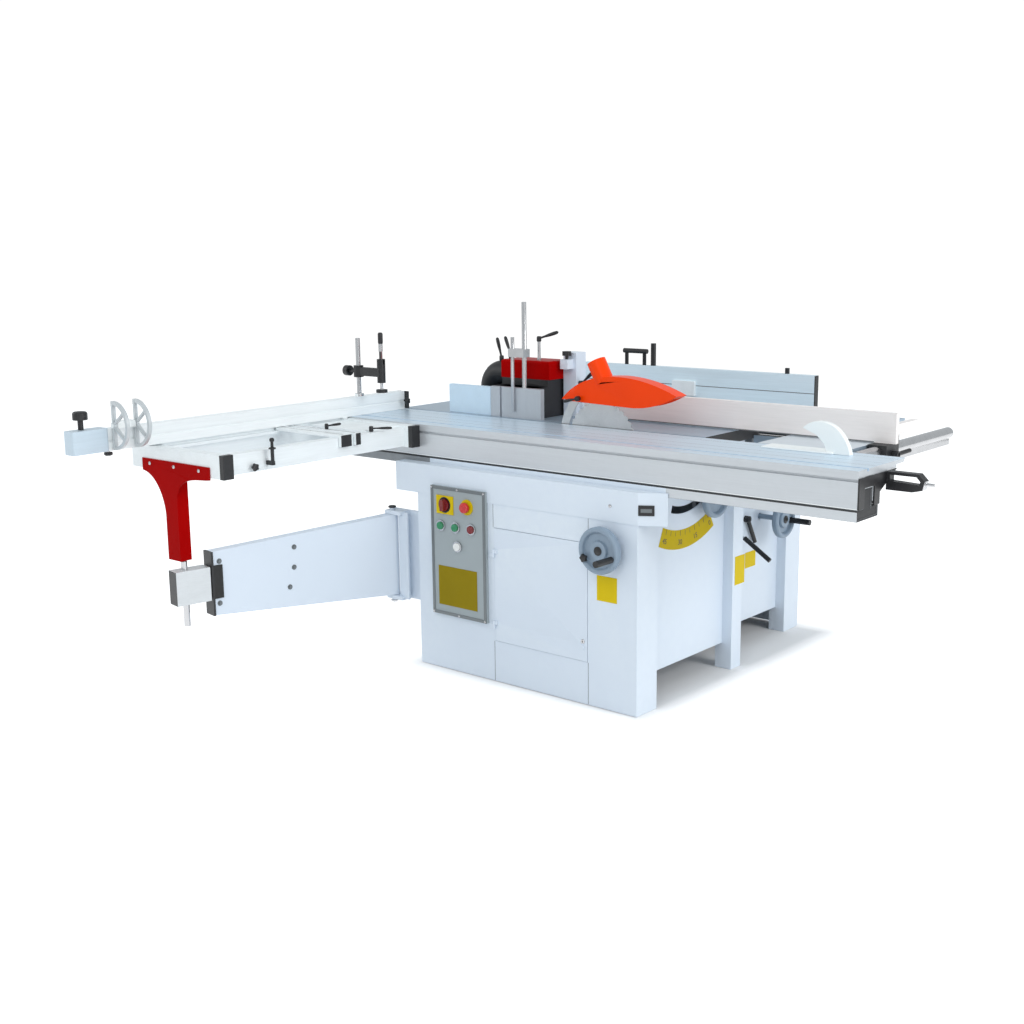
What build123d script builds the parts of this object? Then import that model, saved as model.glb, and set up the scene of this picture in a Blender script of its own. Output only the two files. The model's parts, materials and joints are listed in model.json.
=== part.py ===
from build123d import *
import math
import os

os.makedirs("parts", exist_ok=True)

# Combination woodworking machine: sliding-table saw, spindle moulder, planer and thicknesser.
# Millimetres. X runs along the sliding table, Y away from the front, Z up.
# The origin is on the floor under the front right leg.

# Cabinet
CAB_LEFT = -930
CAB_RIGHT = 50
CAB_FRONT = -50
CAB_REAR = 1240
FRAME_TOP = 740
SHEET = 3
LEG_WIDTH = 68
LEG_WALL = 4
LEG_FRONT_DEPTH = 114
MID_LEG_Y = 580
MID_LEG_DEPTH = 65
MID_LEG_RIGHT = 25
REAR_LEG_DEPTH = 107
REAR_LEG_RIGHT = -67
RAIL_HEIGHT = 40
RAIL_WIDTH = 38
BED_RAIL_Z = 160
PANEL_BOTTOM = 96
PANEL_TOP = 736
SAW_PANEL_X = -15
PLANER_PANEL_X = -107
THICKNESS_MOUTH_Z = 600

# Tables
TABLE_Z = 890
TABLE_SKIN = 15
TABLE_RIM = 40
SAW_TABLE_Y = 322
SAW_TABLE_DEPTH = 354
SAW_TABLE_RIGHT = 65
SAW_TABLE_LEFT = -960
LEFT_LEAF_LENGTH = 408
INFEED_LEAF_X = 265
INFEED_LEAF_LENGTH = 310
INFEED_LEAF_DEPTH = 378
PLANER_Y = 712
PLANER_DEPTH = 450
PLANER_TABLE_THICK = 35

# Fits
FIT = 0.05
GAP = 0.3
SEAT = 0.2
SEAM = 1.5
BELT_THICK = 6
BELT_EDGE = 3

# Front panel and controls
DOOR_LEFT = -561
DOOR_WIDTH = 409
DOOR_BOTTOM = 152
DOOR_HEIGHT = 409
DOOR_PIN_R = 5
CONTROL_LEFT = -850
CONTROL_WIDTH = 260
CONTROL_BOTTOM = 211
CONTROL_HEIGHT = 475
CONTROL_THICK = 14
CONTROL_LAP = 14
BUTTON_R = 14
BUTTON_CAP_R = 17
BUTTON_TRAVEL = 4
ESTOP_R = 19
ESTOP_TRAVEL = 6
DIAL_R = 22
WHEEL_SHAFT_R = 10
FRONT_WHEEL_X = -69
FRONT_WHEEL_Z = 556
FRONT_WHEEL_R = 79

# Sliding table
BEAM_LEFT = -1470
BEAM_LENGTH = 2251
BEAM_DEPTH = 135
BEAM_HEIGHT = 34
SPINE_Y = 40
SPINE_DEPTH = 55
SPINE_TOP = 832
CARRIAGE_BOTTOM = 776
CARRIAGE_DEPTH = 310
APRON_LEFT = -1037
APRON_BOTTOM = 647
APRON_TOP = 754
APRON_BEND_X = 135
APRON_BEND_Y = -4


# Helpers: each adds to the part block that is open when it is called.
def block(x, y, z, mode=Mode.ADD):
    """A box between pairs of limits."""
    with Locations(((x[0] + x[1]) / 2, (y[0] + y[1]) / 2, (z[0] + z[1]) / 2)):
        Box(x[1] - x[0], y[1] - y[0], z[1] - z[0], mode=mode)


def rod_x(x, y, z, radius, mode=Mode.ADD):
    """A round bar along X between the limits x."""
    with Locations(Location(((x[0] + x[1]) / 2, y, z), (0, 90, 0))):
        Cylinder(radius, x[1] - x[0], mode=mode)


def rod_y(x, y, z, radius, mode=Mode.ADD):
    """A round bar along Y between the limits y."""
    with Locations(Location((x, (y[0] + y[1]) / 2, z), (90, 0, 0))):
        Cylinder(radius, y[1] - y[0], mode=mode)


def rod_z(x, y, z, radius, mode=Mode.ADD):
    """A round bar along Z between the limits z."""
    with Locations((x, y, (z[0] + z[1]) / 2)):
        Cylinder(radius, z[1] - z[0], mode=mode)


def prism_x(points, x, mode=Mode.ADD):
    """A polygon of (Y, Z) points, drawn out along X."""
    with BuildSketch(Plane.YZ.offset(x[0])) as outline:
        with BuildLine():
            Polyline(*points, close=True)
        make_face()
    extrude(outline.sketch, amount=x[1] - x[0], mode=mode)


def prism_y(points, y, mode=Mode.ADD):
    """A polygon of (X, Z) points, drawn out along Y."""
    with BuildSketch(Plane.XZ.offset(-y[0])) as outline:
        with BuildLine():
            Polyline(*points, close=True)
        make_face()
    extrude(outline.sketch, amount=y[0] - y[1], mode=mode)


def prism_z(points, z, mode=Mode.ADD):
    """A polygon of (X, Y) points, drawn up along Z."""
    with BuildSketch(Plane.XY.offset(z[0])) as outline:
        with BuildLine():
            Polyline(*points, close=True)
        make_face()
    extrude(outline.sketch, amount=z[1] - z[0], mode=mode)


def box_tube(x, y, z, wall, floor):
    """An upright box tube, open at the top, with a floor plate."""
    block(x, y, z)
    inner_x = (x[0] + wall, x[1] - wall)
    inner_y = (y[0] + wall, y[1] - wall)
    block(inner_x, inner_y, (z[0] + floor, z[1]), mode=Mode.SUBTRACT)


def ring_sector(radius_in, radius_out, start, end, x, centre, mode=Mode.ADD):
    """A ring sector in a plane across X; angles in degrees from straight down, positive to the rear."""
    with BuildSketch(Plane.YZ.offset(x[0])) as outline:
        with BuildLine():
            points = []
            for radius, angle in (
                (radius_in, start),
                (radius_in, (start + end) / 2),
                (radius_in, end),
                (radius_out, end),
                (radius_out, (start + end) / 2),
                (radius_out, start),
            ):
                turn = math.radians(angle)
                points.append((centre[0] + radius * math.sin(turn), centre[1] - radius * math.cos(turn)))
            ThreePointArc(*points[0:3])
            Line(points[2], points[3])
            ThreePointArc(*points[3:6])
            Line(points[5], points[0])
        make_face()
    extrude(outline.sketch, amount=x[1] - x[0], mode=mode)


def belt_loop(plane, first, first_r, second, second_r, width):
    """A flat belt round two pulleys, given in the plane's own coordinates."""
    with BuildSketch(plane) as outer:
        for centre, radius in ((first, first_r), (second, second_r)):
            with Locations(centre):
                Circle(radius + GAP + BELT_THICK)
        make_hull()
    extrude(outer.sketch, amount=width)
    with BuildSketch(plane) as inner:
        for centre, radius in ((first, first_r), (second, second_r)):
            with Locations(centre):
                Circle(radius + GAP)
        make_hull()
    extrude(inner.sketch, amount=width, mode=Mode.SUBTRACT)



# Limits shared by several pieces
SAW_Y = 318
SAW_AXIS = (SAW_Y, TABLE_Z)
FRONT_LEG = (CAB_FRONT + SHEET, CAB_FRONT + SHEET + LEG_FRONT_DEPTH)
MID_LEG = (MID_LEG_Y, MID_LEG_Y + MID_LEG_DEPTH)
REAR_LEG = (CAB_REAR - SHEET - REAR_LEG_DEPTH, CAB_REAR - SHEET)
LEFT_LEGS = (CAB_LEFT + SHEET, CAB_LEFT + SHEET + LEG_WIDTH)
RIGHT_LEG = (CAB_RIGHT - LEG_WIDTH, CAB_RIGHT)
MID_RIGHT_LEG = (MID_LEG_RIGHT - LEG_WIDTH, MID_LEG_RIGHT)
REAR_RIGHT_LEG = (REAR_LEG_RIGHT - LEG_WIDTH, REAR_LEG_RIGHT)
TABLE_SEAT = TABLE_Z - TABLE_RIM
RIGHT_RAIL = (SAW_PANEL_X - SHEET - RAIL_WIDTH, SAW_PANEL_X - SHEET)
LEFT_RAIL = (CAB_LEFT + SHEET, CAB_LEFT + SHEET + RAIL_WIDTH)
TOP_RAIL_Z = (FRAME_TOP - RAIL_HEIGHT, FRAME_TOP)
BED_RAIL = (BED_RAIL_Z, BED_RAIL_Z + RAIL_HEIGHT)
BED_Z = BED_RAIL[1]
FOOT_THICK = 8
WHEEL_BLOCK = 30

# Base frame: six box-tube legs, rails, posts under the saw table, bearing block of the front handwheel
with BuildPart() as base_frame:
    for leg_x in (LEFT_LEGS, RIGHT_LEG):
        box_tube(leg_x, FRONT_LEG, (0, FRAME_TOP), LEG_WALL, FOOT_THICK)
    for leg_x in (LEFT_LEGS, MID_RIGHT_LEG):
        box_tube(leg_x, MID_LEG, (0, TABLE_SEAT), LEG_WALL, FOOT_THICK)
    for leg_x in (LEFT_LEGS, REAR_RIGHT_LEG):
        box_tube(leg_x, REAR_LEG, (0, FRAME_TOP), LEG_WALL, FOOT_THICK)
    block((LEFT_LEGS[1], RIGHT_LEG[0]), (FRONT_LEG[0], FRONT_LEG[0] + RAIL_WIDTH), TOP_RAIL_Z)
    block((LEFT_LEGS[1], MID_RIGHT_LEG[0]), (MID_LEG[1] - RAIL_WIDTH, MID_LEG[1]), TOP_RAIL_Z)
    block((LEFT_LEGS[1], MID_RIGHT_LEG[0]), (MID_LEG[1] - RAIL_WIDTH, MID_LEG[1]), BED_RAIL)
    block((LEFT_LEGS[1], REAR_RIGHT_LEG[0]), (REAR_LEG[0], REAR_LEG[0] + RAIL_WIDTH), BED_RAIL)
    block(LEFT_RAIL, (FRONT_LEG[1], MID_LEG[0]), TOP_RAIL_Z)
    block(LEFT_RAIL, (FRONT_LEG[1], MID_LEG[0]), BED_RAIL)
    block(LEFT_RAIL, (MID_LEG[1], REAR_LEG[0]), BED_RAIL)
    block(RIGHT_RAIL, (FRONT_LEG[0] + RAIL_WIDTH, MID_LEG[0]), TOP_RAIL_Z)
    block(RIGHT_RAIL, (FRONT_LEG[0] + RAIL_WIDTH, MID_LEG[0]), BED_RAIL)
    block((RIGHT_RAIL[0], RIGHT_LEG[0]), (FRONT_LEG[0], FRONT_LEG[0] + RAIL_WIDTH), BED_RAIL)
    for rail_x in (LEFT_RAIL, RIGHT_RAIL):
        block(rail_x, (SAW_TABLE_Y + 8, SAW_TABLE_Y + 48), (FRAME_TOP, TABLE_SEAT))
    block(
        (FRONT_WHEEL_X - WHEEL_BLOCK, FRONT_WHEEL_X + WHEEL_BLOCK),
        (FRONT_LEG[0], FRONT_LEG[0] + RAIL_WIDTH),
        (FRONT_WHEEL_Z - WHEEL_BLOCK, TOP_RAIL_Z[0]),
    )
    rod_y(
        FRONT_WHEEL_X, (FRONT_LEG[0], FRONT_LEG[0] + RAIL_WIDTH), FRONT_WHEEL_Z,
        WHEEL_SHAFT_R + FIT, mode=Mode.SUBTRACT,
    )
base_frame.part.label = "base_frame"
export_step(base_frame.part, "parts/base_frame.step")

# Front panel, open for the door, the control panel and the handwheel shaft
DOOR_X = (DOOR_LEFT, DOOR_LEFT + DOOR_WIDTH)
DOOR_Z = (DOOR_BOTTOM, DOOR_BOTTOM + DOOR_HEIGHT)
CONTROL_X = (CONTROL_LEFT, CONTROL_LEFT + CONTROL_WIDTH)
CONTROL_Z = (CONTROL_BOTTOM, CONTROL_BOTTOM + CONTROL_HEIGHT)
FLOOR_GAP = 2
PANEL_Y = (CAB_FRONT, CAB_FRONT + SHEET)
DOOR_PROUD = 1.5
DOOR_AXIS_Y = CAB_FRONT - DOOR_PROUD - DOOR_PIN_R - GAP
DOOR_HINGE_Z = (DOOR_Z[0] + 60, DOOR_Z[1] - 90)
KNUCKLE = 14
with BuildPart() as front_panel:
    block((CAB_LEFT, CAB_RIGHT), PANEL_Y, (FLOOR_GAP, PANEL_TOP))
    block(
        (DOOR_X[0] - SEAM, DOOR_X[1] + SEAM), PANEL_Y, (DOOR_Z[0] - SEAM, DOOR_Z[1] + SEAM),
        mode=Mode.SUBTRACT,
    )
    block(
        (CONTROL_X[0] + CONTROL_LAP, CONTROL_X[1] - CONTROL_LAP), PANEL_Y,
        (CONTROL_Z[0] + CONTROL_LAP, CONTROL_Z[1] - CONTROL_LAP), mode=Mode.SUBTRACT,
    )
    rod_y(FRONT_WHEEL_X, PANEL_Y, FRONT_WHEEL_Z, WHEEL_SHAFT_R + 2, mode=Mode.SUBTRACT)
    for hinge_z in DOOR_HINGE_Z:
        rod_z(DOOR_X[0], DOOR_AXIS_Y, (hinge_z - KNUCKLE, hinge_z), DOOR_PIN_R)
        block(
            (DOOR_X[0] - KNUCKLE - SEAM, DOOR_X[0]), (DOOR_AXIS_Y, CAB_FRONT), (hinge_z - KNUCKLE, hinge_z),
        )
        rod_z(DOOR_X[0], DOOR_AXIS_Y, (hinge_z, hinge_z + KNUCKLE), DOOR_PIN_R / 2)
front_panel.part.label = "front_panel"
export_step(front_panel.part, "parts/front_panel.step")

# Access door, hinged on its left edge, with folded rims and a cam lock
DOOR_Y = (CAB_FRONT - DOOR_PROUD, CAB_FRONT - DOOR_PROUD + SHEET)
DOOR_RIM = 12
LOCK_R = 9
with BuildPart() as access_door:
    block(DOOR_X, (DOOR_Y[0], DOOR_Y[1] + DOOR_RIM), DOOR_Z)
    block(
        (DOOR_X[0] + SHEET, DOOR_X[1] - SHEET), (DOOR_Y[1], DOOR_Y[1] + DOOR_RIM),
        (DOOR_Z[0] + SHEET, DOOR_Z[1] - SHEET), mode=Mode.SUBTRACT,
    )
    rod_y(DOOR_X[1] - 22, (DOOR_Y[0] - SHEET, DOOR_Y[0]), DOOR_Z[0] + 48, LOCK_R)
    for hinge_z in DOOR_HINGE_Z:
        knuckle_z = (hinge_z + GAP, hinge_z + KNUCKLE)
        rod_z(DOOR_X[0], DOOR_AXIS_Y, knuckle_z, DOOR_PIN_R)
        block((DOOR_X[0], DOOR_X[0] + KNUCKLE), (DOOR_AXIS_Y, DOOR_Y[0]), knuckle_z)
        rod_z(DOOR_X[0], DOOR_AXIS_Y, knuckle_z, DOOR_PIN_R / 2 + FIT, mode=Mode.SUBTRACT)
access_door.part.label = "access_door"
export_step(access_door.part, "parts/access_door.step")

# Body panels: saw end with an arc slot, planer end, left side and rear, each a sheet of its own
SAW_WHEEL_Y = 448
SAW_WHEEL_Z = 670
SLOT_R = math.hypot(SAW_WHEEL_Y - SAW_Y, TABLE_Z - SAW_WHEEL_Z)
SLOT_ANGLE = math.degrees(math.atan2(SAW_WHEEL_Y - SAW_Y, TABLE_Z - SAW_WHEEL_Z))
TILT_RANGE = 45
SLOT_HALF = WHEEL_SHAFT_R + 3
SLOT_END = math.degrees(SLOT_HALF / SLOT_R)
FEED_LEVER_Y = 849
FEED_LEVER_Z = 430
FEED_SLOT = (395, 520)
PLANER_WHEEL_Y = 991
PLANER_WHEEL_Z = 490
LOCK_Y = 882
LOCK_Z = 496
LOCK_SHAFT_R = 6
CHEEK_THICK = 20
CHEEK_GAP = 408
CHEEK_Y = PLANER_Y + 8
MOUTH_Y = (CHEEK_Y + CHEEK_THICK, CHEEK_Y + CHEEK_THICK + CHEEK_GAP)
PANEL_Z = (PANEL_BOTTOM, PANEL_TOP)
with BuildPart() as body_panels:
    saw_end = (SAW_PANEL_X - SHEET, SAW_PANEL_X)
    block(saw_end, (FRONT_LEG[1], MID_LEG[0]), PANEL_Z)
    ring_sector(
        SLOT_R - SLOT_HALF, SLOT_R + SLOT_HALF, SLOT_ANGLE - TILT_RANGE - SLOT_END, SLOT_ANGLE + SLOT_END,
        saw_end, SAW_AXIS, mode=Mode.SUBTRACT,
    )
    planer_end = (PLANER_PANEL_X - SHEET, PLANER_PANEL_X)
    block(planer_end, (MID_LEG[1], REAR_LEG[0]), (PANEL_BOTTOM, THICKNESS_MOUTH_Z))
    block(planer_end, (FEED_LEVER_Y - 7, FEED_LEVER_Y + 7), FEED_SLOT, mode=Mode.SUBTRACT)
    rod_x(planer_end, PLANER_WHEEL_Y, PLANER_WHEEL_Z, WHEEL_SHAFT_R + 3, mode=Mode.SUBTRACT)
    rod_x(planer_end, LOCK_Y, LOCK_Z, LOCK_SHAFT_R + FIT, mode=Mode.SUBTRACT)
    left_side = (CAB_LEFT, CAB_LEFT + SHEET)
    low_z = (FLOOR_GAP, PANEL_TOP)
    beside_mouth = (THICKNESS_MOUTH_Z + SEAT, PANEL_TOP)
    block(left_side, (FRONT_LEG[0], REAR_LEG[1] - GAP), (FLOOR_GAP, THICKNESS_MOUTH_Z))
    block(left_side, (FRONT_LEG[0], MOUTH_Y[0]), beside_mouth)
    block(left_side, (MOUTH_Y[1], REAR_LEG[1] - GAP), beside_mouth)
    block((CAB_LEFT, REAR_RIGHT_LEG[1]), (REAR_LEG[1], CAB_REAR), low_z)
body_panels.part.label = "body_panels"
export_step(body_panels.part, "parts/body_panels.step")

# Apron below the sliding table: front sheet, bent right end, folded top, left return
APRON_Y = (CAB_FRONT - SHEET, CAB_FRONT)
BEND_X = CAB_RIGHT + SHEET
BEND_RUN = APRON_BEND_X - BEND_X
BEND_RISE = APRON_BEND_Y - APRON_Y[0]
BEND_LENGTH = math.hypot(BEND_RUN, BEND_RISE)
BEND_DX = -SHEET * BEND_RISE / BEND_LENGTH
BEND_DY = SHEET * BEND_RUN / BEND_LENGTH
APRON_REAR = -2
with BuildPart() as apron:
    bend_end = (APRON_BEND_X, APRON_BEND_Y)
    bend_inner = (APRON_BEND_X + BEND_DX, APRON_BEND_Y + BEND_DY)
    prism_z(
        [
            (APRON_LEFT, APRON_Y[0]), (BEND_X, APRON_Y[0]), bend_end, bend_inner,
            (BEND_X + BEND_DX, APRON_Y[1]), (APRON_LEFT, APRON_Y[1]),
        ],
        (APRON_BOTTOM, APRON_TOP),
    )
    prism_z(
        [
            (APRON_LEFT, APRON_Y[0]), (BEND_X, APRON_Y[0]), bend_end,
            (APRON_BEND_X, APRON_REAR), (APRON_LEFT, APRON_REAR),
        ],
        (APRON_TOP - SHEET, APRON_TOP),
    )
    block((APRON_LEFT, APRON_LEFT + SHEET), (APRON_Y[0], APRON_REAR), (APRON_BOTTOM, APRON_TOP))
apron.part.label = "apron"
export_step(apron.part, "parts/apron.step")

# Control panel: bevelled plate, switch plate, stop collar, button collars and a bare plate
CONTROL_Y = (CAB_FRONT - CONTROL_THICK, CAB_FRONT)
SWITCH_X = -780
SWITCH_Z = 620
SWITCH_PLATE = (81, 67, 4)
ESTOP_AT = (-674, 623)
ESTOP_COLLAR_R = 28
BUTTONS = {
    "start_button_a": (-800, 543),
    "start_button_b": (-729, 543),
    "stop_button": (-654, 545),
    "lamp_button": (-721, 474),
}
COLLAR_R = 20
COLLAR_THICK = 7
STEM_R = 8
with BuildPart() as control_panel:
    block(CONTROL_X, CONTROL_Y, (CONTROL_Z[0], APRON_BOTTOM - GAP))
    block(CONTROL_X, (CONTROL_Y[0], APRON_Y[0]), CONTROL_Z)
    chamfer(control_panel.faces().sort_by(Axis.Y)[0].edges(), 5)
    for spot_x, spot_z in [*BUTTONS.values(), ESTOP_AT, (SWITCH_X, SWITCH_Z)]:
        rod_y(spot_x, CONTROL_Y, spot_z, STEM_R + FIT, mode=Mode.SUBTRACT)
    for spot_x, spot_z in BUTTONS.values():
        collar_y = (CONTROL_Y[0] - SEAT - COLLAR_THICK, CONTROL_Y[0] - SEAT)
        rod_y(spot_x, collar_y, spot_z, COLLAR_R)
        rod_y(spot_x, collar_y, spot_z, BUTTON_R + GAP, mode=Mode.SUBTRACT)
    plate_y = (CONTROL_Y[0] - SEAT - SWITCH_PLATE[2], CONTROL_Y[0] - SEAT)
    rod_y(ESTOP_AT[0], plate_y, ESTOP_AT[1], ESTOP_COLLAR_R)
    rod_y(ESTOP_AT[0], plate_y, ESTOP_AT[1], STEM_R + GAP, mode=Mode.SUBTRACT)
    block(
        (SWITCH_X - SWITCH_PLATE[0] / 2, SWITCH_X + SWITCH_PLATE[0] / 2), plate_y,
        (SWITCH_Z - SWITCH_PLATE[1] / 2, SWITCH_Z + SWITCH_PLATE[1] / 2),
    )
    rod_y(SWITCH_X, plate_y, SWITCH_Z, STEM_R + GAP, mode=Mode.SUBTRACT)
    block((-819, -632), (CONTROL_Y[0] - SEAT - 1, CONTROL_Y[0] - SEAT), (248, 394))
control_panel.part.label = "control_panel"
export_step(control_panel.part, "parts/control_panel.step")

# Main switch dial with a grip bar
with BuildPart() as main_switch_dial:
    dial_y = plate_y[0] - GAP
    rod_y(SWITCH_X, (dial_y - 6, dial_y), SWITCH_Z, DIAL_R)
    block((SWITCH_X - 8, SWITCH_X + 8), (dial_y - 18, dial_y - 6), (SWITCH_Z - DIAL_R + 2, SWITCH_Z + DIAL_R - 2))
    rod_y(SWITCH_X, (dial_y, CONTROL_Y[1] + 20), SWITCH_Z, STEM_R)
main_switch_dial.part.label = "main_switch_dial"
export_step(main_switch_dial.part, "parts/main_switch_dial.step")

# Emergency stop: mushroom cap on a stem
with BuildPart() as estop_button:
    cap_y = plate_y[0] - ESTOP_TRAVEL - SEAM
    rod_y(ESTOP_AT[0], (cap_y - 14, cap_y), ESTOP_AT[1], ESTOP_R)
    fillet(estop_button.faces().sort_by(Axis.Y)[0].edges(), 6)
    rod_y(ESTOP_AT[0], (cap_y, CONTROL_Y[1] + 20), ESTOP_AT[1], STEM_R)
estop_button.part.label = "estop_button"
export_step(estop_button.part, "parts/estop_button.step")


def push_button(centre):
    """A button cap in its collar, on a stem through the panel."""
    back = CONTROL_Y[0] - BUTTON_TRAVEL - GAP
    rod_y(centre[0], (back - 8, back), centre[1], BUTTON_R)
    rod_y(centre[0], (back, CONTROL_Y[1] + 20), centre[1], STEM_R)


with BuildPart() as start_button_a:
    push_button(BUTTONS["start_button_a"])
start_button_a.part.label = "start_button_a"
export_step(start_button_a.part, "parts/start_button_a.step")

with BuildPart() as start_button_b:
    push_button(BUTTONS["start_button_b"])
start_button_b.part.label = "start_button_b"
export_step(start_button_b.part, "parts/start_button_b.step")

with BuildPart() as stop_button:
    push_button(BUTTONS["stop_button"])
stop_button.part.label = "stop_button"
export_step(stop_button.part, "parts/stop_button.step")

with BuildPart() as lamp_button:
    push_button(BUTTONS["lamp_button"])
lamp_button.part.label = "lamp_button"
export_step(lamp_button.part, "parts/lamp_button.step")


# Handwheels
RIM_R = 9
HUB_R = 22
WEB_SUNK = 14
GRIP_R = 11
HUB_SUNK = 5


def handwheel_z(radius, depth):
    """A dished handwheel about Z: rounded rim, sunk web and raised hub, with its front at Z = depth."""
    back = 8
    inner = radius - 2 * RIM_R
    boss = HUB_R + 12
    with BuildSketch(Plane.XZ) as section:
        with BuildLine():
            Polyline((0, 0), (HUB_R, 0), (HUB_R, back), (radius - RIM_R, back))
            ThreePointArc(
                (radius - RIM_R, back), (radius - 0.3 * RIM_R, back + 0.3 * RIM_R), (radius, back + RIM_R),
            )
            Line((radius, back + RIM_R), (radius, depth - RIM_R))
            ThreePointArc((radius, depth - RIM_R), (radius - RIM_R, depth), (inner, depth - RIM_R))
            Polyline(
                (inner, depth - RIM_R), (inner - 3, depth - WEB_SUNK), (boss, depth - WEB_SUNK),
                (boss - 3, depth - HUB_SUNK), (0, depth - HUB_SUNK), (0, 0),
            )
        make_face()
    revolve(section.sketch, axis=Axis.Z)


# Front handwheel, about Y, with a crank grip and shaft; built about Z, then turned to face the front
FRONT_WHEEL_DEPTH = 38
CRANK_AT = (FRONT_WHEEL_R - 20, -19)
CRANK_LENGTH = 84
FRONT_WHEEL_Y = CAB_FRONT - 20
with BuildPart() as front_wheel_form:
    handwheel_z(FRONT_WHEEL_R, FRONT_WHEEL_DEPTH)
    rod_z(0, 0, (-FRONT_LEG[0] + FRONT_WHEEL_Y - 60, 0), WHEEL_SHAFT_R)
    rod_z(*CRANK_AT, (FRONT_WHEEL_DEPTH - WEB_SUNK - 1, FRONT_WHEEL_DEPTH + 3), 6)
    rod_z(*CRANK_AT, (FRONT_WHEEL_DEPTH + 3, FRONT_WHEEL_DEPTH + 3 + CRANK_LENGTH), GRIP_R)
with BuildPart() as front_handwheel:
    with Locations(Location((FRONT_WHEEL_X, FRONT_WHEEL_Y, FRONT_WHEEL_Z), (90, 0, 0))):
        add(front_wheel_form.part)
front_handwheel.part.label = "front_handwheel"
export_step(front_handwheel.part, "parts/front_handwheel.step")

# Saw-rise handwheel, about X, on the tilting cradle
SAW_WHEEL_R = 80
SAW_WHEEL_X = 10
SAW_SHAFT_LEFT = -200
with BuildPart() as saw_wheel_form:
    handwheel_z(SAW_WHEEL_R, 35)
    rod_z(0, 0, (SAW_SHAFT_LEFT - SAW_WHEEL_X, 0), WHEEL_SHAFT_R)
with BuildPart() as saw_handwheel:
    with Locations(Location((SAW_WHEEL_X, SAW_WHEEL_Y, SAW_WHEEL_Z), (0, 90, 0))):
        add(saw_wheel_form.part)
saw_handwheel.part.label = "saw_handwheel"
export_step(saw_handwheel.part, "parts/saw_handwheel.step")

# Thickness handwheel, about X, with a crank grip
PLANER_WHEEL_R = 72
PLANER_WHEEL_X = -25
PLANER_SHAFT_LEFT = -225
with BuildPart() as planer_wheel_form:
    handwheel_z(PLANER_WHEEL_R, 35)
    rod_z(0, 0, (PLANER_SHAFT_LEFT - PLANER_WHEEL_X, 0), WHEEL_SHAFT_R)
    rod_z(10, PLANER_WHEEL_R - 3 * RIM_R, (20, 110), GRIP_R)
with BuildPart() as planer_handwheel:
    with Locations(Location((PLANER_WHEEL_X, PLANER_WHEEL_Y, PLANER_WHEEL_Z), (0, 90, 0))):
        add(planer_wheel_form.part)
planer_handwheel.part.label = "planer_handwheel"
export_step(planer_handwheel.part, "parts/planer_handwheel.step")

# Feed lever: bent rod with a black grip, hinged behind the planer end panel
FEED_PIVOT_X = PLANER_PANEL_X - 40
FEED_REACH = 130
FEED_DROP = 73
with BuildPart() as feed_lever:
    rod_y(FEED_PIVOT_X, (FEED_LEVER_Y - 12, FEED_LEVER_Y + 12), FEED_LEVER_Z, 12)
    with BuildLine() as feed_path:
        Polyline(
            (FEED_PIVOT_X, FEED_LEVER_Y, FEED_LEVER_Z),
            (PLANER_PANEL_X + 22, FEED_LEVER_Y, FEED_LEVER_Z),
        )
    with BuildSketch(Plane(feed_path.line @ 0, z_dir=feed_path.line % 0)):
        Circle(5)
    sweep(path=feed_path.line)
    with BuildLine() as grip_path:
        Line(
            (PLANER_PANEL_X + 18, FEED_LEVER_Y, FEED_LEVER_Z),
            (PLANER_PANEL_X + FEED_REACH, FEED_LEVER_Y, FEED_LEVER_Z - FEED_DROP),
        )
    with BuildSketch(Plane(grip_path.line @ 0, z_dir=grip_path.line % 0)):
        Circle(9)
    sweep(path=grip_path.line)
    rod_y(FEED_PIVOT_X, (FEED_LEVER_Y - 12, FEED_LEVER_Y + 12), FEED_LEVER_Z, 5 + FIT, mode=Mode.SUBTRACT)
feed_lever.part.label = "feed_lever"
export_step(feed_lever.part, "parts/feed_lever.step")

# Table lock lever, flat against the planer end panel
LOCK_RUN = 52
LOCK_DROP = 96
with BuildPart() as table_lock_lever:
    rod_x((PLANER_PANEL_X - 30, PLANER_PANEL_X + 22), LOCK_Y, LOCK_Z, LOCK_SHAFT_R)
    rod_x((PLANER_PANEL_X + GAP, PLANER_PANEL_X + 20), LOCK_Y, LOCK_Z, 13)
    with BuildLine() as lock_path:
        Line((PLANER_PANEL_X + 12, LOCK_Y, LOCK_Z), (PLANER_PANEL_X + 14, LOCK_Y + LOCK_RUN, LOCK_Z - LOCK_DROP))
    with BuildSketch(Plane(lock_path.line @ 0, z_dir=lock_path.line % 0)):
        Circle(8)
    sweep(path=lock_path.line)
table_lock_lever.part.label = "table_lock_lever"
export_step(table_lock_lever.part, "parts/table_lock_lever.step")

# Guide beam: hollow base with an upright spine that the carriage rides on
BEAM_X = (BEAM_LEFT, BEAM_LEFT + BEAM_LENGTH)
BEAM_Z = (FRAME_TOP, FRAME_TOP + BEAM_HEIGHT)
SPINE = (SPINE_Y, SPINE_Y + SPINE_DEPTH)
BEAM_WALL = 6
with BuildPart() as guide_beam:
    block(BEAM_X, (0, BEAM_DEPTH), BEAM_Z)
    block(BEAM_X, SPINE, (BEAM_Z[1], SPINE_TOP))
    block(
        BEAM_X, (BEAM_WALL, BEAM_DEPTH - BEAM_WALL), (BEAM_Z[0] + BEAM_WALL, BEAM_Z[1] - BEAM_WALL),
        mode=Mode.SUBTRACT,
    )
    block(
        BEAM_X, (SPINE[0] + BEAM_WALL, SPINE[1] - BEAM_WALL), (BEAM_Z[1] - BEAM_WALL, SPINE_TOP - BEAM_WALL),
        mode=Mode.SUBTRACT,
    )
guide_beam.part.label = "guide_beam"
export_step(guide_beam.part, "parts/guide_beam.step")

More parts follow.
